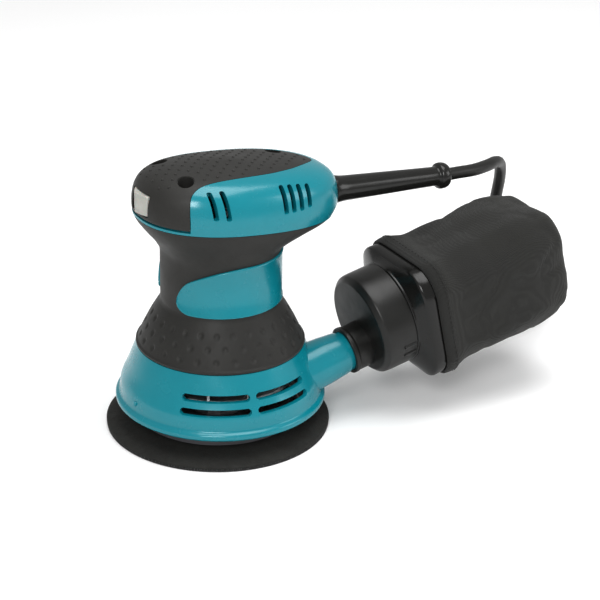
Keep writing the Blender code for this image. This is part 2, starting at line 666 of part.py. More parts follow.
def make_housing():
    foot = RING_TOP + GAP
    depth = RUBBER + GAP
    lower = foot + 7.0
    middle = (foot + NECK_FOOT) / 2
    outline = [
        (37.3, foot),
        (cone_radius(foot, depth), foot),
        (cone_radius(middle, depth), middle),
        (BARREL_RADIUS, NECK_FOOT),
        (BARREL_RADIUS, BARREL_TOP),
        (12.5, BARREL_TOP),
        (12.0, UPPER_SEAT + UPPER_BEARING_HEIGHT + 0.5),
        (UPPER_BEARING[3] + GAP, UPPER_SEAT + UPPER_BEARING_HEIGHT + 0.5),
        (UPPER_BEARING[3] + GAP, UPPER_SEAT - GAP),
        (6.8, UPPER_SEAT - GAP),
        (6.8, BARREL_TOP - 2.4),
        (BARREL_BORE, BARREL_TOP - 2.4),
        (BARREL_BORE, NECK_FOOT - 1.5),
        (cone_radius(lower, depth + 7.0), lower),
    ]
    housing = turned("motor_housing", outline, NYLON, 36)
    plan = [(24.0, -10.5), (50.6, -10.5), (50.6, 10.5), (42.0, 14.2), (24.0, 14.2)]
    boolean(housing, prism("ledge", plan, BARREL_TOP - 0.3, LEDGE_TOP), "UNION")
    front_ledge = box("front_ledge", (-29.5, -15.5, BARREL_TOP - 1.0), (-18.0, 15.5, BARREL_TOP + 3.0))
    boolean(housing, front_ledge, "UNION")
    posts = []
    holes = []
    for x, y, top in COVER_SCREWS:
        posts.append(rod("post", BOSS_RADIUS, BARREL_TOP + 1.5, top - 2.5, None, 10, (x, y, 0)))
        holes.append(rod("hole", SCREW_RADIUS + GAP, top - 10.0, top, None, 8, (x, y, 0)))
    boolean(housing, joined("posts", posts), "UNION")
    for x, y in CLAMP_SCREWS:
        holes.append(rod("hole", 1.2 + GAP, LEDGE_TOP - 5.0, LEDGE_TOP + 1, None, 8, (x, y, 0)))
    boolean(housing, joined("post_holes", holes))
    boolean(housing, shroud_screw_holes("housing_screw_cut", SCREW_RADIUS + GAP - 0.1))


def make_grip():
    foot = RING_TOP + GAP
    middle = (foot + NECK_FOOT) / 2
    outline = [
        (cone_radius(foot, RUBBER), foot),
        (cone_radius(foot, 0) + 0.2, foot),
        (cone_radius(foot, 0) + 0.2, foot + 1.4),
        (cone_radius(middle, 0), middle),
        (NECK_RADIUS + 0.6, NECK_FOOT - 1.0),
        (NECK_RADIUS, NECK_FOOT + 0.8),
        (NECK_RADIUS, NECK_TOP),
        (NECK_RADIUS - RUBBER, NECK_TOP),
        (NECK_RADIUS - RUBBER, NECK_FOOT),
        (cone_radius(middle, RUBBER), middle),
    ]
    turned("grip_sleeve", outline, RUBBER_BLACK, 36)


def badge_edges(turn):
    """Lower and upper height of the badge at an angle from the rear, in degrees; it ends in round noses."""
    span = BADGE_SPANS[1] if turn > 0 else -BADGE_SPANS[0]
    turn = abs(turn)
    low = NECK_FOOT + 1.0
    fall = max(0.0, (turn - span + 73.0) / 73.0)
    high = NECK_TOP - 0.7 - 14.0 * fall**2.1
    nose = max(0.0, (turn - span + 15.0) / 15.0)
    middle = low + (high - low) * 0.42
    share = math.sqrt(max(0.0, 1 - nose**2)) + 0.03 * nose
    return middle - (middle - low) * share, middle + (high - middle) * share


def make_badge():
    inner = NECK_RADIUS + GAP
    outer = inner + BADGE_THICKNESS
    count = 40
    centre = (BADGE_SPANS[0] + BADGE_SPANS[1]) / 2
    reach = (BADGE_SPANS[1] - BADGE_SPANS[0]) / 2
    loops = []
    for i in range(count + 1):
        along = 2 * i / count - 1
        turn = -centre + reach * (math.sin(math.pi / 2 * along) * 0.25 + along * 0.75)
        low, high = badge_edges(-turn)
        angle = math.radians(turn)
        edge = min(0.4, (high - low) / 4)
        section = [(inner, low), (outer - edge, low), (outer, low + edge)]
        section += [(outer, high - edge), (outer - edge, high), (inner, high)]
        loops.append([(r * math.cos(angle), r * math.sin(angle), z) for r, z in section])
    rings("badge_plate", loops, TEAL)


# ---------------------------------------------------------------- head

# Each section of the head: front X and Z, rear X and Z, half width. From the parting line upwards.
UPPER_SECTIONS = (
    (-47.2, 126.5, 63.4, 117.0, 36.5),
    (-47.6, 131.2, 66.2, 122.0, 37.0),
    (-47.4, 136.9, 66.4, 127.8, 36.6),
    (-46.0, 142.4, 65.2, 134.9, 35.0),
    (-43.0, 146.8, 60.8, 140.3, 31.8),
    (-37.5, 150.0, 52.0, 144.4, 26.5),
    (-28.0, 151.9, 38.5, 147.6, 18.5),
    (-15.0, 152.8, 18.5, 150.3, 9.5),
)
# From the neck up to the parting line.
LOWER_SECTIONS = (
    (-33.2, 106.0, 33.5, 106.4, 32.9),
    (-36.5, 111.5, 39.8, 108.8, 33.6),
    (-41.0, 117.0, 50.0, 111.8, 34.8),
    (-45.2, 122.6, 59.2, 114.5, 35.9),
    (-47.0, 126.2, 63.2, 116.7, 36.4),
)
# Plan of the palm grip's edge on one side, from beyond the head's side to the tip at the rear.
PALM_EDGE = (
    (-31.8, 60.0),
    (-31.8, 28.5),
    (-30.5, 26.3),
    (-27.5, 24.4),
    (-20.0, 22.7),
    (0.0, 22.0),
    (18.5, 20.5),
    (32.0, 17.0),
    (41.0, 12.6),
    (48.0, 8.0),
    (52.6, 3.6),
    (54.0, 0.0),
)
# Vent slots in the cover's sides: X and Z at the foot, X and Z at the top, nearest Y.
VENTS = (
    (-19.4, 133.2, -20.6, 146.6, 24.6),
    (-12.8, 132.4, -14.1, 146.6, 24.4),
    (20.3, 130.6, 19.6, 144.4, 22.8),
    (25.2, 130.4, 24.8, 143.8, 21.0),
    (30.4, 130.2, 30.2, 143.0, 18.6),
    (35.8, 130.6, 35.8, 142.0, 16.4),
)
VENT_WIDTH = 2.3
CLAMP_SCREWS = ((48.5, -7.6), (48.5, 7.6))
LEDGE_TOP = 118.4


def head_form(name, inset, drop=0.0, rise=0.0, finish=None):
    """The head above its parting line, moved in by an inset; drop lowers its foot and rise lifts it."""
    first = UPPER_SECTIONS[0]
    foot = (first[0], first[1] - drop + rise, first[2], first[3] - drop + rise, first[4])
    rows = [foot] + [row for row in UPPER_SECTIONS[(0 if drop else 1):] if row[1] > foot[1] + 0.5]
    loops = [egg(front, rear, half, low, high) for front, low, rear, high, half in rows]
    made = rings(name, loops, finish)
    if inset:
        shape = bmesh.new()
        shape.from_mesh(made.data)
        shape.normal_update()
        for vert in shape.verts:
            vert.co -= vert.normal * inset * MM
        shape.to_mesh(made.data)
        shape.free()
    return made


def palm_outline(margin):
    """Plan of the palm grip, moved in by a margin: the whole front, then a band that narrows to a tip."""
    side = [Vector(point) for point in PALM_EDGE]
    moved = []
    for k, point in enumerate(side):
        before = side[max(k - 1, 0)]
        after = side[k + 1] if k + 1 < len(side) else Vector((point.x, -side[k - 1].y))
        along = (after - before).normalized()
        moved.append(point + Vector((along.y, -along.x)) * margin)
    outline = [(-70.0, -60.0), (-70.0, 60.0)]
    outline += [(point.x, point.y) for point in moved[:-1]]
    outline.append((moved[-1].x, 0.0))
    outline += [(point.x, -point.y) for point in reversed(moved[:-1])]
    return outline


def screw_recesses(name, radius, low):
    recesses = [rod("hole", radius, top + low, 160, None, 12, (x, y, 0)) for x, y, top in COVER_SCREWS]
    return joined(name, recesses)


def vent_cutter(name):
    """Leaning slots through both sides of the cover: two by the palm grip's front, four near the rear."""
    slots = []
    half = VENT_WIDTH / 2
    for foot_x, foot_z, top_x, top_z, near in VENTS:
        outline = [(top_x - half, top_z), (top_x + half, top_z)]
        outline += [(foot_x + half, foot_z), (foot_x - half, foot_z)]
        for low, high in ((-45.0, -near), (near, 45.0)):
            slots.append(prism("slot", outline, low, high, None, "Y"))
    return joined(name, slots)


def make_head():
    opening_half = SWITCH_COVER_WIDTH / 2 + 0.8
    opening_high = SWITCH_COVER_HEIGHT / 2 + 0.4
    low = (-60.0, -opening_half, SWITCH_HEIGHT - opening_high)
    high = (-38.0, opening_half, SWITCH_HEIGHT + opening_high)
    window = box("switch_window", low, high)
    recess = screw_recesses("screw_recess", SCREW_HEAD_RADIUS + 0.9, 1.6)

    palm = head_form("palm_grip", 0.0, rise=PARTING_RISE + GAP, finish=RUBBER_BLACK)
    boolean(palm, prism("palm_plan", palm_outline(GAP / 2), 100.0, 170.0), "INTERSECT")
    boolean(palm, head_form("palm_core", COVER_SKIN - GAP / 2, drop=6.0))
    boolean(palm, window)
    boolean(palm, recess)

    groove = head_form("palm_groove", -1.0, rise=PARTING_RISE)
    boolean(groove, prism("groove_plan", palm_outline(-GAP / 2), 100.0, 170.0), "INTERSECT")
    boolean(groove, head_form("groove_core", COVER_SKIN + GAP / 2, drop=6.0))
    cover = head_form("head_cover", 0.0, finish=TEAL)
    boolean(cover, groove)
    boolean(cover, head_form("head_cavity", COVER_WALL, drop=6.0))
    bosses = []
    shanks = []
    for x, y, top in COVER_SCREWS:
        bosses.append(rod("boss", BOSS_RADIUS, top - 2.2, top + BOSS_REACH, None, 10, (x, y, 0)))
        shanks.append(rod("hole", SCREW_RADIUS + GAP, top - 4.0, top + 4.0, None, 8, (x, y, 0)))
    boolean(cover, joined("bosses", bosses), "UNION")
    boolean(cover, window)
    boolean(cover, recess)
    boolean(cover, joined("boss_holes", shanks))
    boolean(cover, vent_cutter("vents"))
    guard_hole = rod("guard_hole", GUARD_NECK + 0.45, -16.0, 6.0, None, 16)
    boolean(cover, put(guard_hole, GUARD_BASE, GUARD_TURN))

    for i, (x, y, top) in enumerate(COVER_SCREWS):
        seat = top + 1.6 + GAP
        outline = [(0, top - 9.0), (SCREW_RADIUS, top - 9.0), (SCREW_RADIUS, seat), (SCREW_HEAD_RADIUS, seat)]
        outline += [(SCREW_HEAD_RADIUS, seat + 1.8), (2.2, seat + 2.5), (0, seat + 2.5)]
        turned(f"cover_screw_{i + 1}", outline, STEEL, 10, (x, y, 0))

    make_rim()


def make_rim():
    """The flare between the neck and the cover, hollow, with its outside and inside skinned as one ring."""
    thickness = 2.3
    bottom = [(NECK_RADIUS * c, NECK_RADIUS * s, NECK_TOP + GAP) for c, s in unit_egg()]
    inside = [((NECK_RADIUS - RUBBER) * c, (NECK_RADIUS - RUBBER) * s, NECK_TOP + GAP) for c, s in unit_egg()]
    outer = []
    inner = []
    last = len(LOWER_SECTIONS) - 1
    for k, (front, low, rear, high, half) in enumerate(LOWER_SECTIONS):
        blunt = 2.0 + 0.3 * k / last
        middle = 4.0 * k / last
        inset = RUBBER + 0.1 if k == 0 else thickness
        lift = 0.0 if k in (0, last) else 1.2
        fall = inset * (high - low) / (rear - front)
        outer.append(egg(front, rear, half, low, high, blunt, middle))
        low += lift + fall
        high += lift - fall
        inner.append(egg(front + inset, rear - inset, half - inset, low, high, blunt, middle))
    rings("head_rim", [bottom] + outer + inner[::-1] + [inside], RUBBER_BLACK, closed=True)


def unit_egg(count=32):
    return [(math.cos(2 * math.pi * i / count), math.sin(2 * math.pi * i / count)) for i in range(count)]


# ---------------------------------------------------------------- cord guard, clamp and switch

GUARD_NECK = 5.8
GUARD_TURN = Matrix.Rotation(math.pi / 2 + math.radians(GUARD_DROP), 4, "Y")
GUARD_LINE = Vector((math.cos(math.radians(GUARD_DROP)), 0.0, -math.sin(math.radians(GUARD_DROP))))


def make_guard():
    outline = [
        (0, -24.0),
        (4.6, -24.0),
        (4.6, -9.0),
        (7.0, -9.0),
        (7.0, -6.6),
        (GUARD_NECK, -6.6),
        (GUARD_NECK, 1.6),
        (7.6, 1.6),
        (7.6, 5.0),
        (7.0, 8.0),
        (5.7, GUARD_LENGTH - 9.0),
        (5.7, GUARD_LENGTH - 7.5),
        (7.0, GUARD_LENGTH - 6.0),
        (7.2, GUARD_LENGTH - 3.6),
        (6.6, GUARD_LENGTH - 1.2),
        (5.2, GUARD_LENGTH),
        (0, GUARD_LENGTH),
    ]
    put(turned("cord_guard", outline, DARK, 16), GUARD_BASE, GUARD_TURN)
    top = 132.7
    clamp = box("cord_clamp", (44.5, -10.0, top - 3.0), (52.5, 10.0, top), NYLON)
    holes = [rod("hole", 1.2 + GAP, top - 5, top + 1, None, 8, (x, y, 0)) for x, y in CLAMP_SCREWS]
    boolean(clamp, joined("clamp_cut", holes))
    for i, (x, y) in enumerate(CLAMP_SCREWS):
        outline = [(0, LEDGE_TOP - 3.0), (1.2, LEDGE_TOP - 3.0), (1.2, top + GAP)]
        outline += [(2.2, top + GAP), (2.2, top + 1.6), (0, top + 1.8)]
        turned(f"clamp_screw_{i + 1}", outline, STEEL, 8, (x, y, 0))


def make_switch():
    pivot = (SWITCH_PIVOT, 0.0, SWITCH_HEIGHT)
    rest = Matrix.Rotation(math.radians(-SWITCH_THROW / 2), 4, "Z")
    low = -SWITCH_COVER_HEIGHT / 2
    half = SWITCH_COVER_WIDTH / 2
    fold = 3.4
    front = -4.7
    back = 1.0
    outline = [(back, -half), (back, half), (front + fold, half)]
    outline += [(front, 0.7), (front, -0.7), (front + fold, -half)]
    cover = prism("switch_cover", outline, low, -low, GREY_RUBBER)
    bevel = cover.modifiers.new("edges", "BEVEL")
    bevel.width = 0.5 * MM
    bevel.segments = 1
    bevel.limit_method = "ANGLE"
    put(cover, pivot, rest)
    block = [(back + GAP, -6.0), (3.4, -6.0), (4.6, 0.0), (3.4, 6.0), (back + GAP, 6.0)]
    rocker = prism("switch_rocker", block, low + 1.0, -low - 1.0, DARK)
    put(rocker, pivot, rest)
    box("switch_body", (SWITCH_PIVOT + 6.2, -7.4, 125.0), (-22.0, 7.4, 140.4), DARK)
    box("suppressor_capacitor", (8.0, -17.0, BARREL_TOP + 0.6), (26.0, -11.0, BARREL_TOP + 12.6), BRASS)


# ---------------------------------------------------------------- dust nozzle and bag


def nozzle_place(rise):
    """The place on the spout's mouth plane that is a distance above the spout's axis."""
    return Vector(SPOUT_MOUTH) + ACROSS * rise


def make_nozzle():
    bore = SPOUT_RADIUS + RUN
    sleeve = bore + SLEEVE_WALL
    face = SLEEVE_LENGTH
    back = face + DISC_THICKNESS
    outline = [
        (0, face),
        (DISC_RADIUS - 3.0, face),
        (DISC_RADIUS, face + 3.0),
        (DISC_RADIUS, back),
        (DISC_RADIUS - DISC_WALL, back),
        (DISC_RADIUS - DISC_WALL, face + DISC_WALL + 1.5),
        (DISC_RADIUS - DISC_WALL - 2.0, face + DISC_WALL),
        (0, face + DISC_WALL),
    ]
    nozzle = turned("dust_nozzle", outline, DARK, 32)
    put(nozzle, nozzle_place(DISC_RISE), NOZZLE_TURN)
    length = SPOUT_REACH + 0.5
    outline = [(0, 0), (sleeve - 0.5, 0), (sleeve, 0.6), (sleeve, length), (0, length)]
    pipe = turned("nozzle_pipe", outline, None, 20)
    boolean(nozzle, put(pipe, SPOUT_MOUTH, NOZZLE_TURN), "UNION")
    bore_cut = rod("nozzle_bore", bore, -2.0, SPOUT_REACH + 2.0, None, 20)
    boolean(nozzle, put(bore_cut, SPOUT_MOUTH, NOZZLE_TURN))


def bag_loop(outline, rise, along):
    """An outline laid across the spout's direction, a distance above its axis and along from its mouth."""
    origin = nozzle_place(rise) + ALONG * along
    return [tuple(origin + ACROSS * u + Vector((0, v, 0))) for u, v in outline]


def circle(radius, along):
    return bag_loop(circle_like_square(radius), DISC_RISE, along)


def square(size, corner, along):
    return bag_loop(rounded_square(size, corner), FRAME_RISE, along)


def make_bag():
    back = SLEEVE_LENGTH + DISC_THICKNESS
    collar = DISC_RADIUS - DISC_WALL - RUN
    low = back + GAP
    mouth = low + FRAME_DEPTH
    inner = FRAME_SIZE - 2 * FRAME_WALL
    loops = [
        circle(collar, back - 3.5),
        circle(collar, low),
        circle(DISC_RADIUS, low),
        circle(DISC_RADIUS, low + 1.6),
        square(FRAME_SIZE - 4.0, FRAME_CORNER, low + 8.0),
        square(FRAME_SIZE, FRAME_CORNER, low + 10.5),
        square(FRAME_SIZE, FRAME_CORNER, mouth),
        square(inner, FRAME_CORNER - FRAME_WALL, mouth),
        square(inner, FRAME_CORNER - FRAME_WALL, low + 10.5),
        square(inner - 4.0, FRAME_CORNER - FRAME_WALL, low + 9.5),
        circle(collar - FRAME_WALL, low + 3.5),
        circle(collar - FRAME_WALL, back - 3.5),
    ]
    frame = rings("bag_frame", loops, DARK, closed=True)
    start = mouth + GAP
    end = start + BAG_LENGTH
    loops = [
        square(FRAME_SIZE + 1.0, FRAME_CORNER, start),
        square(BAG_SIZE - 3.0, BAG_CORNER, start + 14.0),
        square(BAG_SIZE, BAG_CORNER, start + BAG_LENGTH * 0.5),
        square(BAG_SIZE - 1.0, BAG_CORNER, end - 14.0),
        square(BAG_SIZE - 7.0, BAG_CORNER - 3.0, end - 5.0),
        square(BAG_SIZE - 20.0, BAG_CORNER - 6.0, end),
    ]
    bag = rings("dust_bag", loops, FABRIC)
    for moving in (frame, bag):
        centre_on(moving, nozzle_place(DISC_RISE))


# ---------------------------------------------------------------- cord, coil and plug

CORD_ROUTE = (
    (150.5, 0.3, 119.3),
    (163.0, 2.3, 118.2),
    (175.0, 7.0, 117.2),
    (186.0, 14.5, 115.0),
    (196.0, 24.0, 109.0),
    (203.5, 33.5, 97.5),
    (207.5, 41.5, 82.0),
    (209.5, 48.0, 64.5),
    (211.0, 54.0, 47.0),
    (214.0, 61.0, 31.0),
    (221.0, 69.0, 20.5),
)


def smooth_route(points, spacing):
    """Points a spacing apart on a smooth curve through the given ones."""
    ends = [2 * Vector(points[0]) - Vector(points[1])] + [Vector(p) for p in points]
    ends.append(2 * Vector(points[-1]) - Vector(points[-2]))
    fine = []
    for k in range(1, len(ends) - 2):
        a, b, c, d = ends[k - 1:k + 3]
        for i in range(12):
            t = i / 12
            bend = (2 * a - 5 * b + 4 * c - d) * t**2 + (3 * b - a - 3 * c + d) * t**3
            fine.append(0.5 * (2 * b + (c - a) * t + bend))
    fine.append(ends[-2])
    route = [fine[0]]
    for point in fine[1:]:
        if (point - route[-1]).length >= spacing:
            route.append(point)
    if (fine[-1] - route[-1]).length > spacing / 2:
        route.append(fine[-1])
    else:
        route[-1] = fine[-1]
    return route


def make_cord():
    start = Vector(GUARD_BASE) + GUARD_LINE * (GUARD_LENGTH + 2 * GAP)
    route = smooth_route([tuple(start)] + list(CORD_ROUTE), 4 * CORD_RADIUS)
    curve = bpy.data.curves.new("cord", "CURVE")
    curve.dimensions = "3D"
    curve.bevel_depth = CORD_RADIUS * MM
    curve.bevel_resolution = 2
    curve.use_fill_caps = True
    spline = curve.splines.new("POLY")
    spline.points.add(len(route) - 1)
    for point, place in zip(spline.points, route):
        point.co = (*(place * MM), 1.0)
    curve.materials.append(CORD_BLACK)
    bpy.context.scene.collection.objects.link(bpy.data.objects.new("cord", curve))


def make_coil():
    """The coil's outer shape, lying on the surface that the pad stands on."""
    section = []
    for i in range(8):
        angle = 2 * math.pi * (i + 0.5) / 8
        across = math.copysign(abs(math.cos(angle)) ** 0.6, math.cos(angle))
        up = math.copysign(abs(math.sin(angle)) ** 0.6, math.sin(angle)) / 0.954
        section.append((COIL_MID_RADIUS + COIL_WIDTH / 2 * across, COIL_HEIGHT / 2 * (1 + up)))
    turned("cord_coil", section, CORD_BLACK, 28, (*COIL_CENTRE, 0.0))


def make_plug():
    """A moulded two-blade plug lying flat beside the coil, on the side away from the pad, along Y."""
    x = COIL_CENTRE[0] + COIL_MID_RADIUS + COIL_WIDTH / 2 + PLUG_CLEAR
    tail = COIL_CENTRE[1] + 26.0
    nose = tail + 33.0
    height = 9.0
    sections = [(tail, 7.0, 7.0), (tail + 12.0, 9.0, 9.0), (tail + 17.0, 17.0, 14.0)]
    sections += [(tail + 23.0, 19.0, 16.0), (nose, 19.0, 16.0)]
    body = []
    for along, wide, tall in sections:
        body.append([(x + u * wide / 19.0, along, height + v * tall / 16.0) for u, v in rounded_plug()])
    rings("plug_body", body, DARK)
    for i, side in enumerate((-1, 1)):
        low = (x + side * 6.35 - 0.75, nose + GAP, height - 3.15)
        high = (x + side * 6.35 + 0.75, nose + 17.0, height + 3.15)
        box(f"plug_blade_{i + 1}", low, high, BRASS)


def rounded_plug():
    loop = []
    for quarter, (sx, sy) in enumerate(((1, 1), (-1, 1), (-1, -1), (1, -1))):
        for i in range(3):
            angle = math.pi / 2 * (quarter + i / 2)
            loop.append((sx * 5.5 + 4.0 * math.cos(angle), sy * 4.0 + 4.0 * math.sin(angle)))
    return loop


def clear_scene():
    for old in list(bpy.data.objects):
        bpy.data.objects.remove(old)


def main():
    clear_scene()
    make_pad()
    make_crank()
    make_rotor()
    make_stator()
    make_brushes()
    make_bearing_seats()
    make_shroud()
    make_housing()
    make_grip()
    make_badge()
    make_head()
    make_guard()
    make_switch()
    make_nozzle()
    make_bag()
    make_cord()
    make_coil()
    make_plug()


main()
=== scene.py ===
"""Looks of a palm-grip random-orbit sander with a dust nozzle, a cloth dust bag and a coiled mains cord.

Lengths in the tables below are in millimetres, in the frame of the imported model: the origin is on the
motor's axis in the plane of the pad's face, +Z is up, +X points to the cord and the bag.
"""

import math

import bmesh
import bpy
from mathutils import Matrix, Vector, noise
from mathutils.bvhtree import BVHTree


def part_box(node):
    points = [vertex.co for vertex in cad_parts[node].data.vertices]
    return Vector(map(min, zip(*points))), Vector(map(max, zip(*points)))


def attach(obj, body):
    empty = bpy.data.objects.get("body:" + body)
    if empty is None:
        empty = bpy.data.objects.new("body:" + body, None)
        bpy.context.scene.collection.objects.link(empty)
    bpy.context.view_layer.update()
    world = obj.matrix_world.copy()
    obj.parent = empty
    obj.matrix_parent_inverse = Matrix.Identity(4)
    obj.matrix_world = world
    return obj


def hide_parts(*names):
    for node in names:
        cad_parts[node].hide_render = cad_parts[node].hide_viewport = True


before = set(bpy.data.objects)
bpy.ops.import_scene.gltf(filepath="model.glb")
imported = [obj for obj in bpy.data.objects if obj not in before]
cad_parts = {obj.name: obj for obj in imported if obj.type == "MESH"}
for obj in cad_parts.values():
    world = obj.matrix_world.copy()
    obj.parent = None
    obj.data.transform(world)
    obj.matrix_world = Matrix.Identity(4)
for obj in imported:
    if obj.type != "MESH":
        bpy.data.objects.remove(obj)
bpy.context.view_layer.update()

bl_info = {
    "name": "Palm sander looks",
    "version": (1, 0, 0),
    "blender": (4, 5, 0),
    "location": "3D View > Sidebar > Sander",
    "description": "Builds the visible surfaces of a palm-grip random-orbit sander around its packed frame",
    "category": "Object",
}

MM = 0.001

# Pad
PAD_MIDDLE = (-1.5, 0.0)
PAD_RADIUS = 61.5
PLATE_RADIUS = 45.5
DUST_HOLES = 8
DUST_CIRCLE = 32.5
DUST_RADIUS = 5.0
PAD_SCREWS = 3
SCREW_CIRCLE = 13.0

# Lower shroud: radius and height up its outside, from the lip's foot
RING_PROFILE = (
    (56.7, 15.5, 0.6),
    (57.5, 16.3, 0.5),
    (57.5, 18.7, 1.0),
    (55.3, 20.1, 0.9),
    (54.8, 25.5, 3.0),
    (54.1, 28.5, 3.0),
    (51.2, 34.5, 4.0),
    (48.9, 40.5, 4.0),
    (45.8, 48.5, 0.5),
)
SHELL = 2.5
SLOT_HEIGHT = 3.7
SLOT_ROWS = (34.9, 28.0)
SLOT_SPANS = ((-50.5, -9.0), (-5.0, 33.0))

# Spout, nozzle and bag
SPOUT_TILT = math.radians(13.0)
SPOUT_MOUTH = Vector((65.3, -23.0, 36.4))
SPOUT_RADIUS = 11.25
SPOUT_REACH = 26.0
DISC_RISE = 11.0
DISC_RADIUS = 29.0
DISC_START = 11.4
DISC_THICKNESS = 20.0
FRAME_RISE = 8.4
FRAME_SIZE = 66.5
FRAME_CORNER = 16.0
BAG_SIZE = 67.0
BAG_LENGTH = 88.0
BAG_CORNER = 19.0
ALONG = Vector((math.cos(SPOUT_TILT), 0.0, math.sin(SPOUT_TILT)))
ACROSS = Vector((-math.sin(SPOUT_TILT), 0.0, math.cos(SPOUT_TILT)))
SPOUT_TURN = Matrix.Rotation(math.pi / 2 - SPOUT_TILT, 4, "Y")

# Grip
RING_TOP = 48.5
RING_TOP_RADIUS = 45.8
NECK_RADIUS = 32.4
NECK_FOOT = 74.2
NECK_TOP = 104.0
RUBBER = 1.8
DIMPLE_ROWS = ((54.4, 0.0), (60.5, 0.5), (66.7, 0.0))
DIMPLES = 27
BADGE_SPANS = (-148.0, 161.0)

# Head sections: front X and Z, rear X and Z, half width
UPPER_SECTIONS = (
    (-47.2, 126.5, 63.4, 117.0, 36.5),
    (-47.6, 131.2, 66.2, 122.0, 37.0),
    (-47.4, 136.9, 66.4, 127.8, 36.6),
    (-46.0, 142.4, 65.2, 134.9, 35.0),
    (-43.0, 146.8, 60.8, 140.3, 31.8),
    (-37.5, 150.0, 52.0, 144.4, 26.5),
    (-28.0, 151.9, 38.5, 147.6, 18.5),
    (-15.0, 152.8, 18.5, 150.3, 9.5),
    (-4.5, 153.0, 8.0, 152.2, 3.0),
)
LOWER_SECTIONS = (
    (-32.4, 103.0, 32.4, 103.0, 32.4),
    (-33.2, 106.0, 33.5, 106.4, 32.9),
    (-36.5, 111.5, 39.8, 108.8, 33.6),
    (-41.0, 117.0, 50.0, 111.8, 34.8),
    (-45.2, 122.6, 59.2, 114.5, 35.9),
    (-47.0, 126.2, 63.2, 116.7, 36.4),
)
PALM_EDGE = (
    (-31.8, 60.0),
    (-31.8, 28.5),
    (-30.5, 26.3),
    (-27.5, 24.4),
    (-20.0, 22.7),
    (0.0, 22.0),
    (18.5, 20.5),
    (32.0, 17.0),
    (41.0, 12.6),
    (48.0, 8.0),
    (52.6, 3.6),
    (54.0, 0.0),
)
VENTS = (
    (-19.4, 133.2, -20.6, 146.6, 24.6),
    (-12.8, 132.4, -14.1, 146.6, 24.4),
    (20.3, 130.6, 19.6, 144.4, 22.8),
    (25.2, 130.4, 24.8, 143.8, 21.0),
    (30.4, 130.2, 30.2, 143.0, 18.6),
    (35.8, 130.6, 35.8, 142.0, 16.4),
)
COVER_SCREWS = ((-28.0, -16.0, 138.0), (-28.0, 16.0, 138.0), (37.0, 11.0, 135.8))
GUARD_BASE = Vector((65.8, 0.0, 123.6))
GUARD_DROP = math.radians(3.1)
GUARD_LENGTH = 77.0
SWITCH_PIVOT = Vector((-44.6, 0.0, 136.6))

# Cord: its way from the guard down to the coil
CORD_ROUTE = (
    (150.5, 0.3, 119.3),
    (163.0, 2.3, 118.2),
    (175.0, 7.0, 117.2),
    (186.0, 14.5, 115.0),
    (196.0, 24.0, 109.0),
    (203.5, 33.5, 97.5),
    (207.5, 41.5, 82.0),
    (209.5, 48.0, 64.5),
    (211.0, 54.0, 47.0),
    (214.0, 61.0, 31.0),
    (221.0, 69.0, 20.5),
)
COIL_MIDDLE = Vector((206.0, 64.0))


# ---------------------------------------------------------------- settings a user would change


class SanderSizes(bpy.types.PropertyGroup):
    cord_thickness: bpy.props.FloatProperty(
        name="Cord thickness", description="Diameter of the mains cord", default=0.007, unit="LENGTH"
    )
    dimple_depth: bpy.props.FloatProperty(
        name="Dimple depth",
        description="How deep the dimples in the cone are",
        default=0.0008,
        unit="LENGTH",
    )
    dot_height: bpy.props.FloatProperty(
        name="Dot height",
        description="How far the palm grip's dots stand out",
        default=0.0005,
        unit="LENGTH",
    )
    wrinkle_depth: bpy.props.FloatProperty(
        name="Wrinkle depth", description="How deep the bag's soft folds are", default=0.0022, unit="LENGTH"
    )


def colour_setting(name, description, default):
    return bpy.props.FloatVectorProperty(
        name=name, description=description, default=default, subtype="COLOR", size=3, min=0.0, max=1.0
    )


class SanderColours(bpy.types.PropertyGroup):
    body: colour_setting("Body", "Glossy plastic of the shroud, badge and cover", (0.003, 0.215, 0.262))
    rubber: colour_setting("Rubber", "Moulded rubber of the grip and palm", (0.018, 0.0175, 0.0155))
    plastic: colour_setting("Dark plastic", "Nozzle, bag frame, guard and plug", (0.012, 0.012, 0.011))
    pad: colour_setting("Pad", "Foam of the sanding pad", (0.020, 0.020, 0.018))
    cloth: colour_setting("Cloth", "Woven cloth of the dust bag", (0.019, 0.019, 0.017))
    cover: colour_setting("Switch cover", "Soft grey cover over the switch", (0.40, 0.40, 0.37))


# ---------------------------------------------------------------- shape functions


def between(a, b, share):
    return tuple(x + (y - x) * share for x, y in zip(a, b))


def smooth_rows(rows, parts):
    """Rows of numbers with more rows between them, on smooth curves through the given ones."""
    ends = [rows[0]] + list(rows) + [rows[-1]]
    made = []
    for k in range(1, len(ends) - 2):
        a, b, c, d = ends[k - 1 : k + 3]
        for i in range(parts):
            t = i / parts
            row = []
            for p, q, r, s in zip(a, b, c, d):
                bend = (2 * p - 5 * q + 4 * r - s) * t**2 + (3 * q - p - 3 * r + s) * t**3
                row.append(0.5 * (2 * q + (r - p) * t + bend))
            made.append(tuple(row))
    made.append(tuple(rows[-1]))
    return made


def rounded(corners, steps=4, closed=True):
    """A polygon with its corners rounded; each corner is (u, v, how far the rounding reaches)."""
    made = []
    count = len(corners)
    for i, (u, v, reach) in enumerate(corners):
        here = Vector((u, v))
        if reach <= 0 or (not closed and i in (0, count - 1)):
            made.append((u, v))
            continue
        before = Vector(corners[i - 1][:2]) - here
        after = Vector(corners[(i + 1) % count][:2]) - here
        start = here + before.normalized() * min(reach, before.length * 0.49)
        end = here + after.normalized() * min(reach, after.length * 0.49)
        for k in range(steps + 1):
            t = k / steps
            point = start * (1 - t) ** 2 + here * 2 * t * (1 - t) + end * t**2
            made.append((point.x, point.y))
    return made


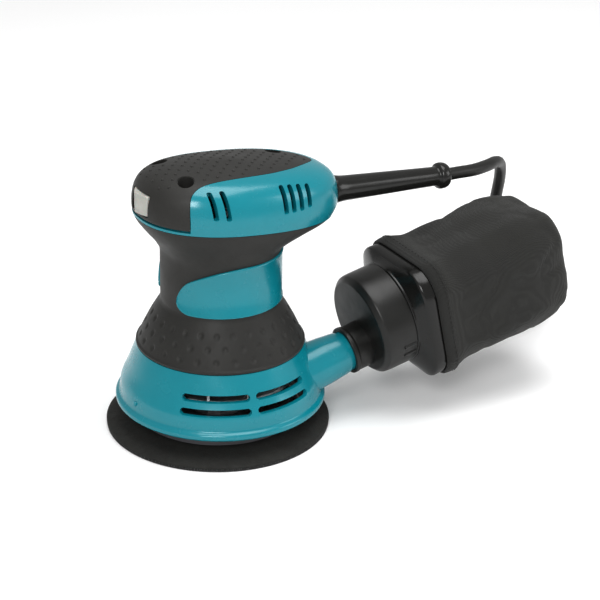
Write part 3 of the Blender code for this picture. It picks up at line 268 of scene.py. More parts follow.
def ring_points(radius, height, steps, middle=(0.0, 0.0)):
    turns = [2 * math.pi * i / steps for i in range(steps)]
    return [(middle[0] + radius * math.cos(a), middle[1] + radius * math.sin(a), height) for a in turns]


def egg(front, low, rear, high, half, blunt, middle, count):
    """An egg-shaped loop from X = front to X = rear; low and high are its heights there."""
    loop = []
    for i in range(count):
        angle = 2 * math.pi * i / count
        c = math.cos(angle)
        s = math.sin(angle)
        reach = (rear - middle) if c > 0 else (middle - front)
        x = middle + reach * math.copysign(abs(c) ** (2 / blunt), c)
        y = half * math.copysign(abs(s) ** (2 / blunt), s)
        loop.append((x, y, low + (high - low) * (x - front) / (rear - front)))
    return loop


def square_loop(size, corner, count):
    """Points round a square with round corners, in equal numbers on each side and corner."""
    half = size / 2 - corner
    per = count // 4
    straight = per // 2
    loop = []
    for quarter, (sx, sy) in enumerate(((1, 1), (-1, 1), (-1, -1), (1, -1))):
        for i in range(per - straight):
            angle = math.pi / 2 * (quarter + i / (per - straight))
            loop.append((sx * half + corner * math.cos(angle), sy * half + corner * math.sin(angle)))
        angle = math.pi / 2 * (quarter + 1)
        start = (sx * half + corner * math.cos(angle), sy * half + corner * math.sin(angle))
        tx, ty = ((-1, 1), (-1, -1), (1, -1), (1, 1))[quarter]
        end = (tx * half + corner * math.cos(angle), ty * half + corner * math.sin(angle))
        for i in range(straight):
            loop.append(between(start, end, i / straight))
    return loop


def piece(name, points, faces, finish=None, crease=35.0):
    """A mesh object from points in millimetres, faces outwards; one with no finish is a cutter."""
    mesh = bpy.data.meshes.new(name)
    mesh.from_pydata([Vector(point) * MM for point in points], [], faces)
    shape = bmesh.new()
    shape.from_mesh(mesh)
    bmesh.ops.remove_doubles(shape, verts=shape.verts, dist=1e-7)
    bmesh.ops.recalc_face_normals(shape, faces=shape.faces)
    shape.to_mesh(mesh)
    shape.free()
    made = bpy.data.objects.new(name, mesh)
    bpy.context.scene.collection.objects.link(made)
    mesh.shade_smooth()
    mesh.set_sharp_from_angle(angle=math.radians(crease))
    if finish:
        mesh.materials.append(finish)
    return made


def skin(name, loops, finish=None, closed=False, crease=35.0):
    """Skins a row of equal loops, closed into a hollow ring or capped at both ends."""
    count = len(loops[0])
    points = [point for loop in loops for point in loop]
    faces = []
    for row in range(len(loops) if closed else len(loops) - 1):
        low = row * count
        high = (row + 1) % len(loops) * count
        for i in range(count):
            j = (i + 1) % count
            faces.append((low + i, low + j, high + j, high + i))
    if not closed:
        faces.append(tuple(range(count)))
        faces.append(tuple(range((len(loops) - 1) * count, len(loops) * count)))
    return piece(name, points, faces, finish, crease)


def lathe(name, outline, finish=None, steps=128, middle=(0.0, 0.0), crease=35.0):
    """Turns a closed outline of (radius, height) about a vertical axis."""
    points = []
    starts = []
    for radius, height in outline:
        starts.append(len(points))
        if radius <= 1e-6:
            points.append((middle[0], middle[1], height))
        else:
            points.extend(ring_points(radius, height, steps, middle))
    faces = []
    for k, start in enumerate(starts):
        follow = (k + 1) % len(outline)
        here = outline[k][0] <= 1e-6
        there = outline[follow][0] <= 1e-6
        if here and there:
            continue
        for i in range(steps):
            j = (i + 1) % steps
            low = [start] if here else [start + i, start + j]
            high = [starts[follow]] if there else [starts[follow] + j, starts[follow] + i]
            faces.append(tuple(low + high))
    return piece(name, points, faces, finish, crease)


def prism(name, outline, low, high, finish=None, axis="Z", crease=35.0):
    order = {"X": (2, 0, 1), "Y": (0, 2, 1), "Z": (0, 1, 2)}[axis]
    loops = [[tuple((u, v, level)[k] for k in order) for u, v in outline] for level in (low, high)]
    return skin(name, loops, finish, crease=crease)


def put(made, at=(0.0, 0.0, 0.0), turn=None):
    """Moves a mesh's points by a turn and then a shift, in millimetres."""
    made.data.transform(Matrix.Translation(Vector(at) * MM) @ (turn or Matrix.Identity(4)))
    return made


def merged(name, pieces):
    """Joins separate closed meshes into one object."""
    shape = bmesh.new()
    for part in pieces:
        shape.from_mesh(part.data)
    mesh = bpy.data.meshes.new(name)
    shape.to_mesh(mesh)
    shape.free()
    made = bpy.data.objects.new(name, mesh)
    bpy.context.scene.collection.objects.link(made)
    for part in pieces:
        for material in part.data.materials:
            if material.name not in [m.name for m in mesh.materials]:
                mesh.materials.append(material)
        bpy.data.objects.remove(part)
    return made


def cut(target, *steps, crease=35.0):
    """Applies Booleans in order, each given as (operation, cutter), and removes the cutters."""
    for operation, cutter in steps:
        modifier = target.modifiers.new("shape", "BOOLEAN")
        modifier.operation = operation
        modifier.solver = "EXACT"
        modifier.object = cutter
        bpy.context.view_layer.update()
        evaluated = target.evaluated_get(bpy.context.evaluated_depsgraph_get())
        mesh = bpy.data.meshes.new_from_object(evaluated)
        target.modifiers.clear()
        target.data = mesh
        bpy.data.objects.remove(cutter)
    if not len(target.data.polygons):
        raise RuntimeError(target.name + " has nothing left after its cuts")
    target.data.name = target.name
    target.data.shade_smooth()
    target.data.set_sharp_from_angle(angle=math.radians(crease))
    return target


def settle(made, body, slot, *nodes):
    """Lets a piece ride a body and stand for CAD nodes, which it hides; the slot argument is not used."""
    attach(made, body)
    if nodes:
        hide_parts(*nodes)
    return made


# ---------------------------------------------------------------- finishes


class Wiring:
    """A material's node tree, with short ways to add and join nodes."""

    def __init__(self, name):
        self.material = bpy.data.materials.new(name)
        self.material.use_nodes = True
        self.tree = self.material.node_tree
        self.shader = self.tree.nodes["Principled BSDF"]
        self.place = self.add("ShaderNodeTexCoord").outputs["Object"]

    def add(self, kind, **inputs):
        node = self.tree.nodes.new(kind)
        for key, value in inputs.items():
            if key in node.inputs:
                node.inputs[key].default_value = value
            else:
                setattr(node, key, value)
        return node

    def join(self, out, socket):
        self.tree.links.new(out, socket)

    def noise(self, scale, detail=3.0, roughness=0.55, place=None):
        node = self.add("ShaderNodeTexNoise", Scale=scale, Detail=detail, Roughness=roughness)
        self.join(place or self.place, node.inputs["Vector"])
        return node.outputs["Fac"]

    def stretched(self, scale):
        node = self.add("ShaderNodeMapping")
        node.inputs["Scale"].default_value = scale
        self.join(self.place, node.inputs["Vector"])
        return node.outputs["Vector"]

    def spread(self, value, low, high, start=0.3, end=0.7):
        node = self.add("ShaderNodeMapRange")
        node.inputs["From Min"].default_value = start
        node.inputs["From Max"].default_value = end
        node.inputs["To Min"].default_value = low
        node.inputs["To Max"].default_value = high
        self.join(value, node.inputs["Value"])
        return node.outputs["Result"]

    def tint(self, value, colours, places=(0.3, 0.7)):
        node = self.add("ShaderNodeValToRGB")
        elements = node.color_ramp.elements
        for element, place, colour in zip(elements, places, colours):
            element.position = place
            element.color = (*colour, 1.0)
        self.join(value, node.inputs["Fac"])
        return node.outputs["Color"]

    def paint(self, value, colours, places=(0.3, 0.7)):
        self.join(self.tint(value, colours, places), self.shader.inputs["Base Color"])

    def gloss(self, value, low, high):
        self.join(self.spread(value, low, high), self.shader.inputs["Roughness"])

    def mixed(self, operation, a, b):
        node = self.add("ShaderNodeMath", operation=operation)
        self.join(a, node.inputs[0])
        if isinstance(b, (int, float)):
            node.inputs[1].default_value = b
        else:
            self.join(b, node.inputs[1])
        return node.outputs["Value"]

    def bump(self, height, strength, distance):
        node = self.add("ShaderNodeBump", Strength=strength, Distance=distance)
        self.join(height, node.inputs["Height"])
        self.join(node.outputs["Normal"], self.shader.inputs["Normal"])

    def set(self, **values):
        for key, value in values.items():
            self.shader.inputs[key.replace("_", " ")].default_value = value


def shade(colour, factor):
    return tuple(min(1.0, channel * factor) for channel in colour)


def moulded(name, colour, rough, grain=900.0, depth=0.00004, coat=0.0, patchy=0.08):
    """Injection-moulded plastic: faint flow patches in colour and gloss over a fine grain."""
    w = Wiring(name)
    flow = w.noise(28.0, 4.0)
    w.paint(flow, (shade(colour, 1 - patchy), shade(colour, 1 + patchy)))
    w.gloss(w.noise(120.0, 5.0), rough - 0.05, rough + 0.06)
    w.bump(w.noise(grain, 2.0), 0.35, depth)
    w.set(IOR=1.49, Coat_Weight=coat, Coat_Roughness=0.12)
    return w.material


def elastomer(name, colour, rough):
    """Soft moulded rubber: a matt pebbled skin with dusty, slightly lighter patches."""
    w = Wiring(name)
    dust = w.noise(22.0, 6.0, 0.6)
    w.paint(dust, (shade(colour, 0.86), shade(colour, 1.2)))
    w.gloss(w.noise(90.0, 4.0), rough - 0.06, rough + 0.08)
    pebbles = w.add("ShaderNodeTexVoronoi", Scale=1500.0)
    w.join(w.place, pebbles.inputs["Vector"])
    w.bump(pebbles.outputs["Distance"], 0.4, 0.00008)
    w.set(IOR=1.5, Sheen_Weight=0.06, Sheen_Roughness=0.5)
    return w.material


def foam(name, colour):
    w = Wiring(name)
    w.paint(w.noise(60.0, 6.0), (shade(colour, 0.8), shade(colour, 1.3)))
    cells = w.add("ShaderNodeTexVoronoi", Scale=1100.0)
    w.join(w.place, cells.inputs["Vector"])
    w.bump(w.mixed("ADD", cells.outputs["Distance"], w.noise(2600.0, 2.0)), 0.7, 0.00018)
    w.gloss(w.noise(300.0), 0.78, 0.95)
    return w.material


def hooks(name, colour):
    """Hook tape: rows of tiny stems, lighter at their tips."""
    w = Wiring(name)
    stems = w.add("ShaderNodeTexVoronoi", Scale=900.0, Randomness=0.35)
    w.join(w.place, stems.inputs["Vector"])
    near = w.spread(stems.outputs["Distance"], 1.0, 0.0, 0.1, 0.5)
    w.paint(near, (shade(colour, 0.5), shade(colour, 2.2)), (0.2, 0.9))
    w.bump(near, 0.9, 0.0006)
    w.set(Roughness=0.9)
    return w.material


def cloth(name, colour):
    """Plain-woven synthetic cloth: over-and-under threads, slubs, and a dusty sheen."""
    w = Wiring(name)
    threads = []
    for direction in ("X", "Y", "Z"):
        wave = w.add("ShaderNodeTexWave", Scale=520.0, Distortion=0.6, Detail=2.0, bands_direction=direction)
        wave.inputs["Detail Scale"].default_value = 3.0
        w.join(w.place, wave.inputs["Vector"])
        threads.append(wave.outputs["Fac"])
    weave = w.mixed("MULTIPLY", w.mixed("ADD", threads[0], threads[2]), threads[1])
    slubs = w.noise(34.0, 7.0, 0.65)
    shades = w.tint(slubs, (shade(colour, 0.75), shade(colour, 1.45)), (0.3, 0.72))
    fine = w.add("ShaderNodeMix", data_type="RGBA", blend_type="MULTIPLY")
    fine.inputs["Factor"].default_value = 0.25
    w.join(shades, fine.inputs["A"])
    w.join(w.tint(weave, ((0.45, 0.45, 0.45), (1.0, 1.0, 1.0)), (0.1, 0.9)), fine.inputs["B"])
    w.join(fine.outputs["Result"], w.shader.inputs["Base Color"])
    w.bump(w.mixed("ADD", weave, slubs), 0.5, 0.0003)
    w.gloss(slubs, 0.72, 0.9)
    w.set(Sheen_Weight=0.1, Sheen_Roughness=0.45)
    return w.material


def metal(name, colour, rough, grain=(40.0, 40.0, 900.0), depth=0.00003, scale=1.0):
    """Turned, rolled or cast metal: fine marks drawn out along one direction."""
    w = Wiring(name)
    marks = w.noise(scale, 3.0, 0.6, w.stretched(grain))
    w.paint(w.noise(60.0, 4.0), (shade(colour, 0.82), shade(colour, 1.08)))
    w.gloss(marks, rough - 0.08, rough + 0.12)
    w.bump(marks, 0.4, depth)
    w.set(Metallic=1.0)
    return w.material


def winding(name, colour):
    """Enamelled wire laid side by side."""
    w = Wiring(name)
    wave = w.add("ShaderNodeTexWave", Scale=420.0, Distortion=1.5, Detail=2.0)
    w.join(w.place, wave.inputs["Vector"])
    w.paint(wave.outputs["Fac"], (shade(colour, 0.35), colour))
    w.bump(wave.outputs["Fac"], 0.8, 0.0003)
    w.set(Metallic=1.0, Roughness=0.32)
    return w.material


def soft_cover(name, colour):
    """Milky silicone: a little light passes through it."""
    w = Wiring(name)
    w.paint(w.noise(160.0, 4.0), (shade(colour, 0.88), shade(colour, 1.08)))
    w.bump(w.noise(700.0, 2.0), 0.3, 0.00005)
    w.set(Roughness=0.42, Subsurface_Weight=0.15, Subsurface_Scale=0.002)
    return w.material


FINISHES = {}


def make_finishes():
    colours = bpy.context.scene.sander_colours
    body = tuple(colours.body)
    rubber = tuple(colours.rubber)
    plastic = tuple(colours.plastic)
    FINISHES.update(
        teal_plastic=moulded(
            "teal_plastic", body, 0.24, grain=260.0, depth=0.000012, coat=0.25, patchy=0.04
        ),
        black_rubber=elastomer("black_rubber", rubber, 0.58),
        dark_plastic=moulded("dark_plastic", plastic, 0.36, grain=1400.0, patchy=0.12),
        glossy_guard=moulded("glossy_guard", shade(plastic, 1.2), 0.2, grain=120.0, depth=0.00001),
        satin_frame=moulded("satin_frame", shade(plastic, 0.7), 0.22, grain=600.0, depth=0.00002),
        cord_sheath=moulded("cord_sheath", shade(plastic, 1.1), 0.42, grain=500.0, depth=0.00005),
        pad_foam=foam("pad_foam", tuple(colours.pad)),
        hook_fabric=hooks("hook_fabric", (0.05, 0.05, 0.05)),
        bag_fabric=cloth("bag_fabric", tuple(colours.cloth)),
        bag_binding=cloth("bag_binding", shade(tuple(colours.cloth), 0.7)),
        grey_rubber=soft_cover("grey_rubber", tuple(colours.cover)),
        glass_nylon=moulded("glass_nylon", (0.10, 0.10, 0.11), 0.5, grain=700.0, depth=0.0001),
        steel=metal("steel", (0.56, 0.56, 0.57), 0.3),
        dark_steel=metal("dark_steel", (0.10, 0.10, 0.105), 0.4),
        zinc_casting=metal("zinc_casting", (0.48, 0.48, 0.50), 0.45, (300.0, 300.0, 300.0), 0.0002),
        fan_alloy=metal("fan_alloy", (0.78, 0.79, 0.80), 0.45, (90.0, 90.0, 90.0), 0.0001),
        copper=winding("copper", (0.72, 0.33, 0.16)),
        brass=metal("brass", (0.78, 0.58, 0.26), 0.25),
        carbon=moulded("carbon", (0.045, 0.045, 0.05), 0.6, grain=2500.0, depth=0.0001),
    )


# ---------------------------------------------------------------- pieces


def make_studio():
    """The camera first, then a pale floor and soft lights."""
    scene = bpy.context.scene
    made = bpy.data.cameras.new("camera")
    made.sensor_width = 36.0
    made.lens = 116.64
    made.clip_start = 0.05
    made.clip_end = 30.0
    camera = bpy.data.objects.new("camera", made)
    scene.collection.objects.link(camera)
    level = Matrix.Rotation(math.radians(90 - 24.5), 4, "X")
    turn = Matrix.Rotation(math.radians(-27.0), 4, "Z")
    aside = Matrix.Rotation(math.radians(-2.342), 4, "Y")
    camera.matrix_world = Matrix.Translation((-0.4338, -0.8514, 0.5069)) @ turn @ level @ aside
    scene.camera = camera
    scene.view_settings.view_transform = "Standard"
    scene.view_settings.gamma = 0.82

    floor = prism("floor", [(-6000, -6000), (6000, -6000), (6000, 6000), (-6000, 6000)], -20.0, -0.05)
    w = Wiring("floor_paper")
    w.paint(w.noise(3.0, 2.0), ((0.93, 0.93, 0.93), (0.95, 0.95, 0.95)))
    w.set(Roughness=0.9)
    floor.data.materials.append(w.material)

    world = bpy.data.worlds.new("studio")
    world.use_nodes = True
    world.node_tree.nodes["Background"].inputs["Color"].default_value = (1.0, 1.0, 1.0, 1.0)
    world.node_tree.nodes["Background"].inputs["Strength"].default_value = 0.62
    scene.world = world
    for name, at, size, power, aim in (
        ("key", (-0.75, -1.05, 0.95), 0.55, 11.0, (0.03, 0.0, 0.07)),
        ("top", (0.15, -0.1, 1.3), 0.9, 11.0, (0.03, 0.0, 0.08)),
        ("side", (1.1, -0.8, 0.6), 0.6, 4.0, (0.05, 0.0, 0.08)),
    ):
        light = bpy.data.lights.new(name, "AREA")
        light.shape = "SQUARE"
        light.size = size
        light.energy = power
        lamp = bpy.data.objects.new(name, light)
        scene.collection.objects.link(lamp)
        lamp.location = at
        lamp.rotation_euler = (Vector(aim) - Vector(at)).to_track_quat("-Z", "Y").to_euler()


def cord_line():
    """Points along the cord: out of the guard, down behind the bag, round the coil and out to the plug."""
    start = GUARD_BASE + Vector((math.cos(GUARD_DROP), 0.0, -math.sin(GUARD_DROP))) * (GUARD_LENGTH - 1.5)
    points = smooth_rows([tuple(start)] + list(CORD_ROUTE), 3)
    entry = Vector(points[-1])
    offset = entry.xy - COIL_MIDDLE
    angle = math.atan2(offset.y, offset.x)
    radius = offset.length
    height = entry.z
    layers = ((17.5, 29.0, 46.5), (10.5, 46.5, 29.0), (3.5, 29.0, 46.5))
    per_turn = 40
    lead = 26
    for i in range(1, lead + 1):
        share = i / lead
        ease = share * share * (3 - 2 * share)
        turn = angle + math.radians(130) * share
        r = radius + (layers[0][1] - radius) * ease
        z = height + (layers[0][0] - height) * ease
        points.append((COIL_MIDDLE.x + r * math.cos(turn), COIL_MIDDLE.y + r * math.sin(turn), z))
    for _ in range(40):
        eased = list(points)
        for k in range(22, len(points) - 4):
            eased[k] = tuple((a + 2 * b + c) / 4 for a, b, c in zip(points[k - 1], points[k], points[k + 1]))
        points = eased
    angle += math.radians(130)
    for level, (z, inner, outer) in enumerate(layers):
        turns = 2.5 if level < 2 else 2.0 + (last_turn + 1.0) % 1.0
        steps = round(turns * per_turn)
        for i in range(1, steps + 1):
            share = i / steps
            turn = angle + 2 * math.pi * turns * share
            r = inner + (outer - inner) * share
            fall = 7.0 * max(0.0, share - 0.93) / 0.07 if level < 2 else 0.0
            points.append((COIL_MIDDLE.x + r * math.cos(turn), COIL_MIDDLE.y + r * math.sin(turn), z - fall))
        angle += 2 * math.pi * turns
        if level < 2:
            last_turn = (-angle / (2 * math.pi)) % 1.0
    low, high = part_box("plug_body")
    tail = Vector(((low.x + high.x) / 2, low.y, (low.z + high.z) / 2)) / MM
    leave = Vector(points[-1])
    for i in range(1, 9):
        share = i / 8
        ease = share * share * (3 - 2 * share)
        x = leave.x + (tail.x - leave.x) * ease
        z = leave.z + (tail.z - leave.z) * ease
        points.append((x, leave.y + (tail.y + 4.0 - leave.y) * share, z))
    return [Vector(point) for point in points]


def make_cord():
    """One tube from the guard to the plug, with most of its length in a coil."""
    thickness = bpy.context.scene.sander_sizes.cord_thickness
    line = cord_line()
    curve = bpy.data.curves.new("mains_cord", "CURVE")
    curve.dimensions = "3D"
    curve.bevel_depth = thickness / 2
    curve.bevel_resolution = 4
    curve.use_fill_caps = True
    spline = curve.splines.new("POLY")
    spline.points.add(len(line) - 1)
    for point, place in zip(spline.points, line):
        point.co = (*(place * MM), 1.0)
    curve.materials.append(FINISHES["cord_sheath"])
    cord = bpy.data.objects.new("mains_cord", curve)
    bpy.context.scene.collection.objects.link(cord)
    settle(cord, "housing", "cord_sheath", "cord", "cord_coil")
    plug = make_plug()
    blades = [make_blade(node) for node in ("plug_blade_1", "plug_blade_2")]


def make_plug():
    low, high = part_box("plug_body")
    x = (low.x + high.x) / 2 / MM
    z = (low.z + high.z) / 2 / MM
    tail = low.y / MM
    nose = high.y / MM
    rows = [(tail, 6.4, 6.4), (tail + 0.6, 7.2, 7.2), (tail + 11.0, 8.6, 8.6), (tail + 13.5, 10.5, 10.0)]
    rows += [(tail + 17.5, 16.6, 13.4), (tail + 21.0, 18.6, 15.6)]
    rows += [(nose - 1.2, 19.0, 16.0), (nose, 17.6, 14.6)]
    loops = []
    for y, wide, tall in rows:
        outline = square_loop(2.0, 0.62, 48)
        loops.append([(x + u * wide / 2, y, z + v * tall / 2) for u, v in outline])
    body = skin("plug_shell", loops, FINISHES["dark_plastic"], crease=50.0)
    grooves = []
    for i in range(4):
        y = tail + 2.6 + 2.2 * i
        corners = [(3.4, y - 0.45, 0.2), (7.0, y - 0.45, 0), (7.0, y + 0.45, 0), (3.4, y + 0.45, 0.2)]
        ring = rounded(corners, 2)
        cutter = lathe("groove", [(r, h - y) for r, h in ring], None, 40)
        grooves.append(put(cutter, (x, y, z), Matrix.Rotation(-math.pi / 2, 4, "X")))
    cut(body, ("DIFFERENCE", merged("grooves", grooves)), crease=50.0)
    return settle(body, "housing", "dark_plastic", "plug_body")


def make_blade(node):
    low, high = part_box(node)
    x = (low.x + high.x) / 2 / MM
    half = (high.x - low.x) / 2 / MM
    near = low.y / MM - 1.0
    end = high.y / MM
    foot = low.z / MM
    top = high.z / MM
    outline = rounded([(near, foot, 0), (end, foot, 1.8), (end, top, 1.8), (near, top, 0)], 5)
    blade = prism(node + "_rounded", outline, x - half, x + half, FINISHES["brass"], "X")
    turns = [2 * math.pi * i / 20 for i in range(20)]
    middle = (low.z + high.z) / 2 / MM
    circle = [(end - 4.0 + 1.5 * math.cos(a), middle + 1.5 * math.sin(a)) for a in turns]
    hole = prism("hole", circle, x - 3, x + 3, None, "X")
    cut(blade, ("DIFFERENCE", hole))
    return settle(blade, "housing", "brass", node)


def pad_cutters(low, screw_radius, screw_top):
    """The pad's dust holes and screw holes, from a height upwards, as one cutter."""
    holes = []
    for i in range(DUST_HOLES):
        angle = math.radians(22.5) + 2 * math.pi * i / DUST_HOLES
        at = (PAD_MIDDLE[0] + DUST_CIRCLE * math.cos(angle), DUST_CIRCLE * math.sin(angle))
        holes.append(lathe("hole", [(0, low), (DUST_RADIUS, low), (DUST_RADIUS, 12), (0, 12)], None, 32, at))
    for i in range(PAD_SCREWS):
        angle = math.pi / 2 + 2 * math.pi * i / PAD_SCREWS
        at = (PAD_MIDDLE[0] + SCREW_CIRCLE * math.cos(angle), SCREW_CIRCLE * math.sin(angle))
        outline = [(0, low), (screw_radius, low), (screw_radius, screw_top), (0, screw_top)]
        holes.append(lathe("hole", outline, None, 24, at))
    return merged("pad_holes", holes)


def make_pad():
    """Hook face, soft foam with a thin rim, backing plate, and the rubber brake ring above it."""
    cutter = pad_cutters(-2.0, 3.5, 7.35)
    spare = cutter.copy()
    spare.data = cutter.data.copy()
    bpy.context.scene.collection.objects.link(spare)
    face = rounded([(0, 0.0, 0), (PAD_RADIUS - 0.3, 0.0, 0.3), (PAD_RADIUS - 0.3, 1.5, 0.3), (0, 1.5, 0)], 3)
    hook = lathe("hook_face_disc", face, FINISHES["hook_fabric"], 160, PAD_MIDDLE)
    cut(hook, ("DIFFERENCE", cutter))
    settle(hook, "pad", "hook_fabric", "hook_face")
    body = rounded([
        (0, 1.55, 0),
        (PAD_RADIUS - 0.2, 1.55, 0.4),
        (PAD_RADIUS, 3.1, 0.9),
        (PAD_RADIUS - 2.6, 4.1, 1.6),
        (PLATE_RADIUS + 3.2, 6.5, 3.0),
        (PLATE_RADIUS + 0.4, 7.2, 1.0),
        (0, 7.2, 0),
    ], 5)
    soft = lathe("foam_disc", body, FINISHES["pad_foam"], 200, PAD_MIDDLE, crease=60.0)
    cut(soft, ("DIFFERENCE", spare), crease=50.0)
    settle(soft, "pad", "pad_foam", "foam_pad")
    ribs = [(PLATE_RADIUS, 7.5, 0.4), (PLATE_RADIUS, 9.6, 0.5), (PLATE_RADIUS - 1.2, 10.5, 0.4)]
    for r in (41.0, 34.0, 27.0):
        ribs += [(r + 1.0, 10.5, 0.2), (r + 0.7, 9.7, 0.2), (r - 0.7, 9.7, 0.2), (r - 1.0, 10.5, 0.2)]
    plate = lathe("backing_plate_disc", [(0, 7.5)] + rounded(ribs, 2, False) + [(0, 10.5)],
                  FINISHES["glass_nylon"], 128, PAD_MIDDLE)
    cut(plate, ("DIFFERENCE", pad_cutters(5.0, 1.9, 12.0)))
    settle(plate, "pad", "glass_nylon", "backing_plate")
    lip = 54.7
    ring = rounded([
        (lip - 9.0, 12.0, 0.3),
        (lip - 7.5, 12.0, 0.3),
        (lip - 3.5, 15.9, 1.0),
        (lip - 0.6, 15.9, 0.3),
        (lip - 1.1, 17.9, 0.3),
        (lip - 6.0, 17.9, 1.0),
    ], 4)
    brake = lathe("brake_ring_skirt", ring, FINISHES["black_rubber"], 128, crease=50.0)
    settle(brake, "housing", "black_rubber", "brake_ring")


def slot_bar(bottom, start, end):
    """A curved bar with round ends through the shroud's wall, between two bearings from -Y to +X."""
    steps = max(6, round((end - start) / 1.5))
    loops = []
    for i in range(steps + 1):
        share = i / steps
        angle = math.radians(start + (end - start) * share)
        near_end = min(share, 1 - share) * (end - start)
        ease = math.sqrt(max(0.0, 1 - (1 - min(1.0, near_end / 1.3)) ** 2)) * 0.6 + 0.4
        half = SLOT_HEIGHT / 2 * ease
        loop = []
        for r, z in ((40.0, -half), (62.0, -half), (62.0, half), (40.0, half)):
            loop.append((r * math.sin(angle), -r * math.cos(angle), bottom + SLOT_HEIGHT / 2 + z))
        loops.append(loop)
    return skin("slot", loops)


def make_shroud():
    """The glossy skirt with its slots and the tilted dust spout."""
    side = rounded(RING_PROFILE, 6, closed=False)
    outline = [(0, 15.5)] + side + [(0, 48.5)]
    shroud = lathe("shroud_shell", outline, FINISHES["teal_plastic"], 240)
    root = -32.0
    swell = rounded([
        (0, root, 0),
        (SPOUT_RADIUS + 2.9, root, 0),
        (SPOUT_RADIUS + 2.0, -15.0, 6.0),
        (SPOUT_RADIUS + 0.7, -3.0, 4.0),
        (SPOUT_RADIUS, -1.0, 2.0),
        (SPOUT_RADIUS, SPOUT_REACH, 0.5),
        (0, SPOUT_REACH, 0),
    ], 6)
    spout = put(lathe("spout", swell, None, 96), SPOUT_MOUTH, SPOUT_TURN)
    inner = [(0, 14.5), (RING_PROFILE[0][0] + 0.8 - SHELL, 14.5)]
    inner += [(r - SHELL, z) for r, z, _ in RING_PROFILE[3:7]]
    inner += [(43.5, 43.1), (43.5, 45.6), (37.0, 45.6), (37.0, 50.0), (0, 50.0)]
    cavity = lathe("cavity", inner, None, 160)
    bore_radius = SPOUT_RADIUS - 1.6
    bore = [(0, root + 2), (bore_radius, root + 2), (bore_radius, SPOUT_REACH + 1), (0, SPOUT_REACH + 1)]
    pipe = put(lathe("bore", bore, None, 64), SPOUT_MOUTH, SPOUT_TURN)
    slots = []
    for bottom in SLOT_ROWS:
        for start, end in SLOT_SPANS:
            slots.append(slot_bar(bottom, start, end))
            slots.append(slot_bar(bottom, 180 - end, 180 - start))
    cut(
        shroud,
        ("UNION", spout),
        ("DIFFERENCE", cavity),
        ("DIFFERENCE", pipe),
        ("DIFFERENCE", merged("slots", slots)),
        crease=30.0,
    )
    settle(shroud, "housing", "teal_plastic", "shroud")
    nub = lathe("shroud_nub", rounded([(0, -1.0, 0), (1.5, -1.0, 0), (1.3, 0.7, 0.5), (0, 1.0, 0)], 4),
                FINISHES["teal_plastic"], 24)
    angle = math.radians(-83.0)
    lean = Matrix.Rotation(angle, 4, "Z") @ Matrix.Rotation(math.pi / 2, 4, "X")
    put(nub, (55.0 * math.sin(angle), -55.0 * math.cos(angle), 24.5), lean)
    settle(nub, "housing", "teal_plastic")


def cone_radius(height):
    share = min(max((height - RING_TOP) / (NECK_FOOT - RING_TOP), 0.0), 1.0)
    return RING_TOP_RADIUS + (NECK_RADIUS - RING_TOP_RADIUS) * share + 3.6 * share * (1 - share)


def dimple(angle, height, radius, depth):
    """How far the cone's surface is pushed in at a bearing and a height by the nearest dimple."""
    pushed = 0.0
    pitch = 2 * math.pi / DIMPLES
    for level, stagger in DIMPLE_ROWS:
        rise = (height - level) / 1.45
        if abs(rise) > 1.6:
            continue
        across = (angle / pitch - stagger + 0.5) % 1.0 - 0.5
        aside = across * pitch * radius / 1.45
        distance = math.hypot(rise, aside)
        if distance < 1.3:
            pushed += depth * max(0.0, 1 - (distance / 1.3) ** 2) ** 1.2
    return pushed


def lower_egg(row, place, count):
    share = min(1.0, max(0.0, place))
    return egg(*row, 2.0 + 0.3 * share, 4.0 * share, count)


def make_grip():
    """The rubber sleeve from the shroud up the neck to the head's parting line, and the badge on it."""
    depth = bpy.context.scene.sander_sizes.dimple_depth / MM
    count = 540
    foot = RING_TOP + 0.3
    wide = cone_radius(foot)
    outer = [ring_points(wide - RUBBER, foot, count), ring_points(wide, foot, count)]
    outer += [ring_points(wide + 0.25, foot + 0.4, count), ring_points(wide + 0.25, foot + 1.3, count)]
    heights = [foot + 1.8 + 0.55 * i for i in range(42)]
    for height in heights:
        radius = cone_radius(height)
        loop = []
        for i in range(count):
            angle = 2 * math.pi * i / count
            r = radius - dimple(angle, height, radius, depth)
            loop.append((r * math.cos(angle), r * math.sin(angle), height))
        outer.append(loop)
    for radius, height in ((NECK_RADIUS + 0.45, 73.8), (NECK_RADIUS + 0.1, 74.6), (NECK_RADIUS, 75.4),
                           (NECK_RADIUS, 82.0), (NECK_RADIUS, 90.0), (NECK_RADIUS, 98.0)):
        outer.append(ring_points(radius, height, count))
    rows = smooth_rows(LOWER_SECTIONS, 7)
    last = len(rows) - 1
    for k, row in enumerate(rows):
        outer.append(lower_egg(row, k / last, count))
    top = rows[-1]
    edge = (top[0] + 1.0, top[1] + 0.1, top[2] - 1.0, top[3] + 0.1, top[4] - 1.0)
    outer.append(lower_egg(edge, 1.0, count))
    inside = []
    for k in range(len(LOWER_SECTIONS) - 1, 0, -1):
        front, low, rear, high, half = LOWER_SECTIONS[k]
        lift = 0.1 if k == len(LOWER_SECTIONS) - 1 else 1.2
        inset = 2.3 if k > 1 else 1.9
        row = (front + inset, low + lift, rear - inset, high + lift, half - inset)
        inside.append(lower_egg(row, (k - 1) / (len(LOWER_SECTIONS) - 2), count))
    for radius, height in ((30.6, 104.0), (30.6, NECK_FOOT), (cone_radius(61.0) - RUBBER, 61.0)):
        inside.append(ring_points(radius, height, count))
    sleeve = skin("rubber_grip", outer + inside, FINISHES["black_rubber"], closed=True, crease=50.0)
    settle(sleeve, "housing", "black_rubber", "grip_sleeve", "head_rim")
    make_badge()


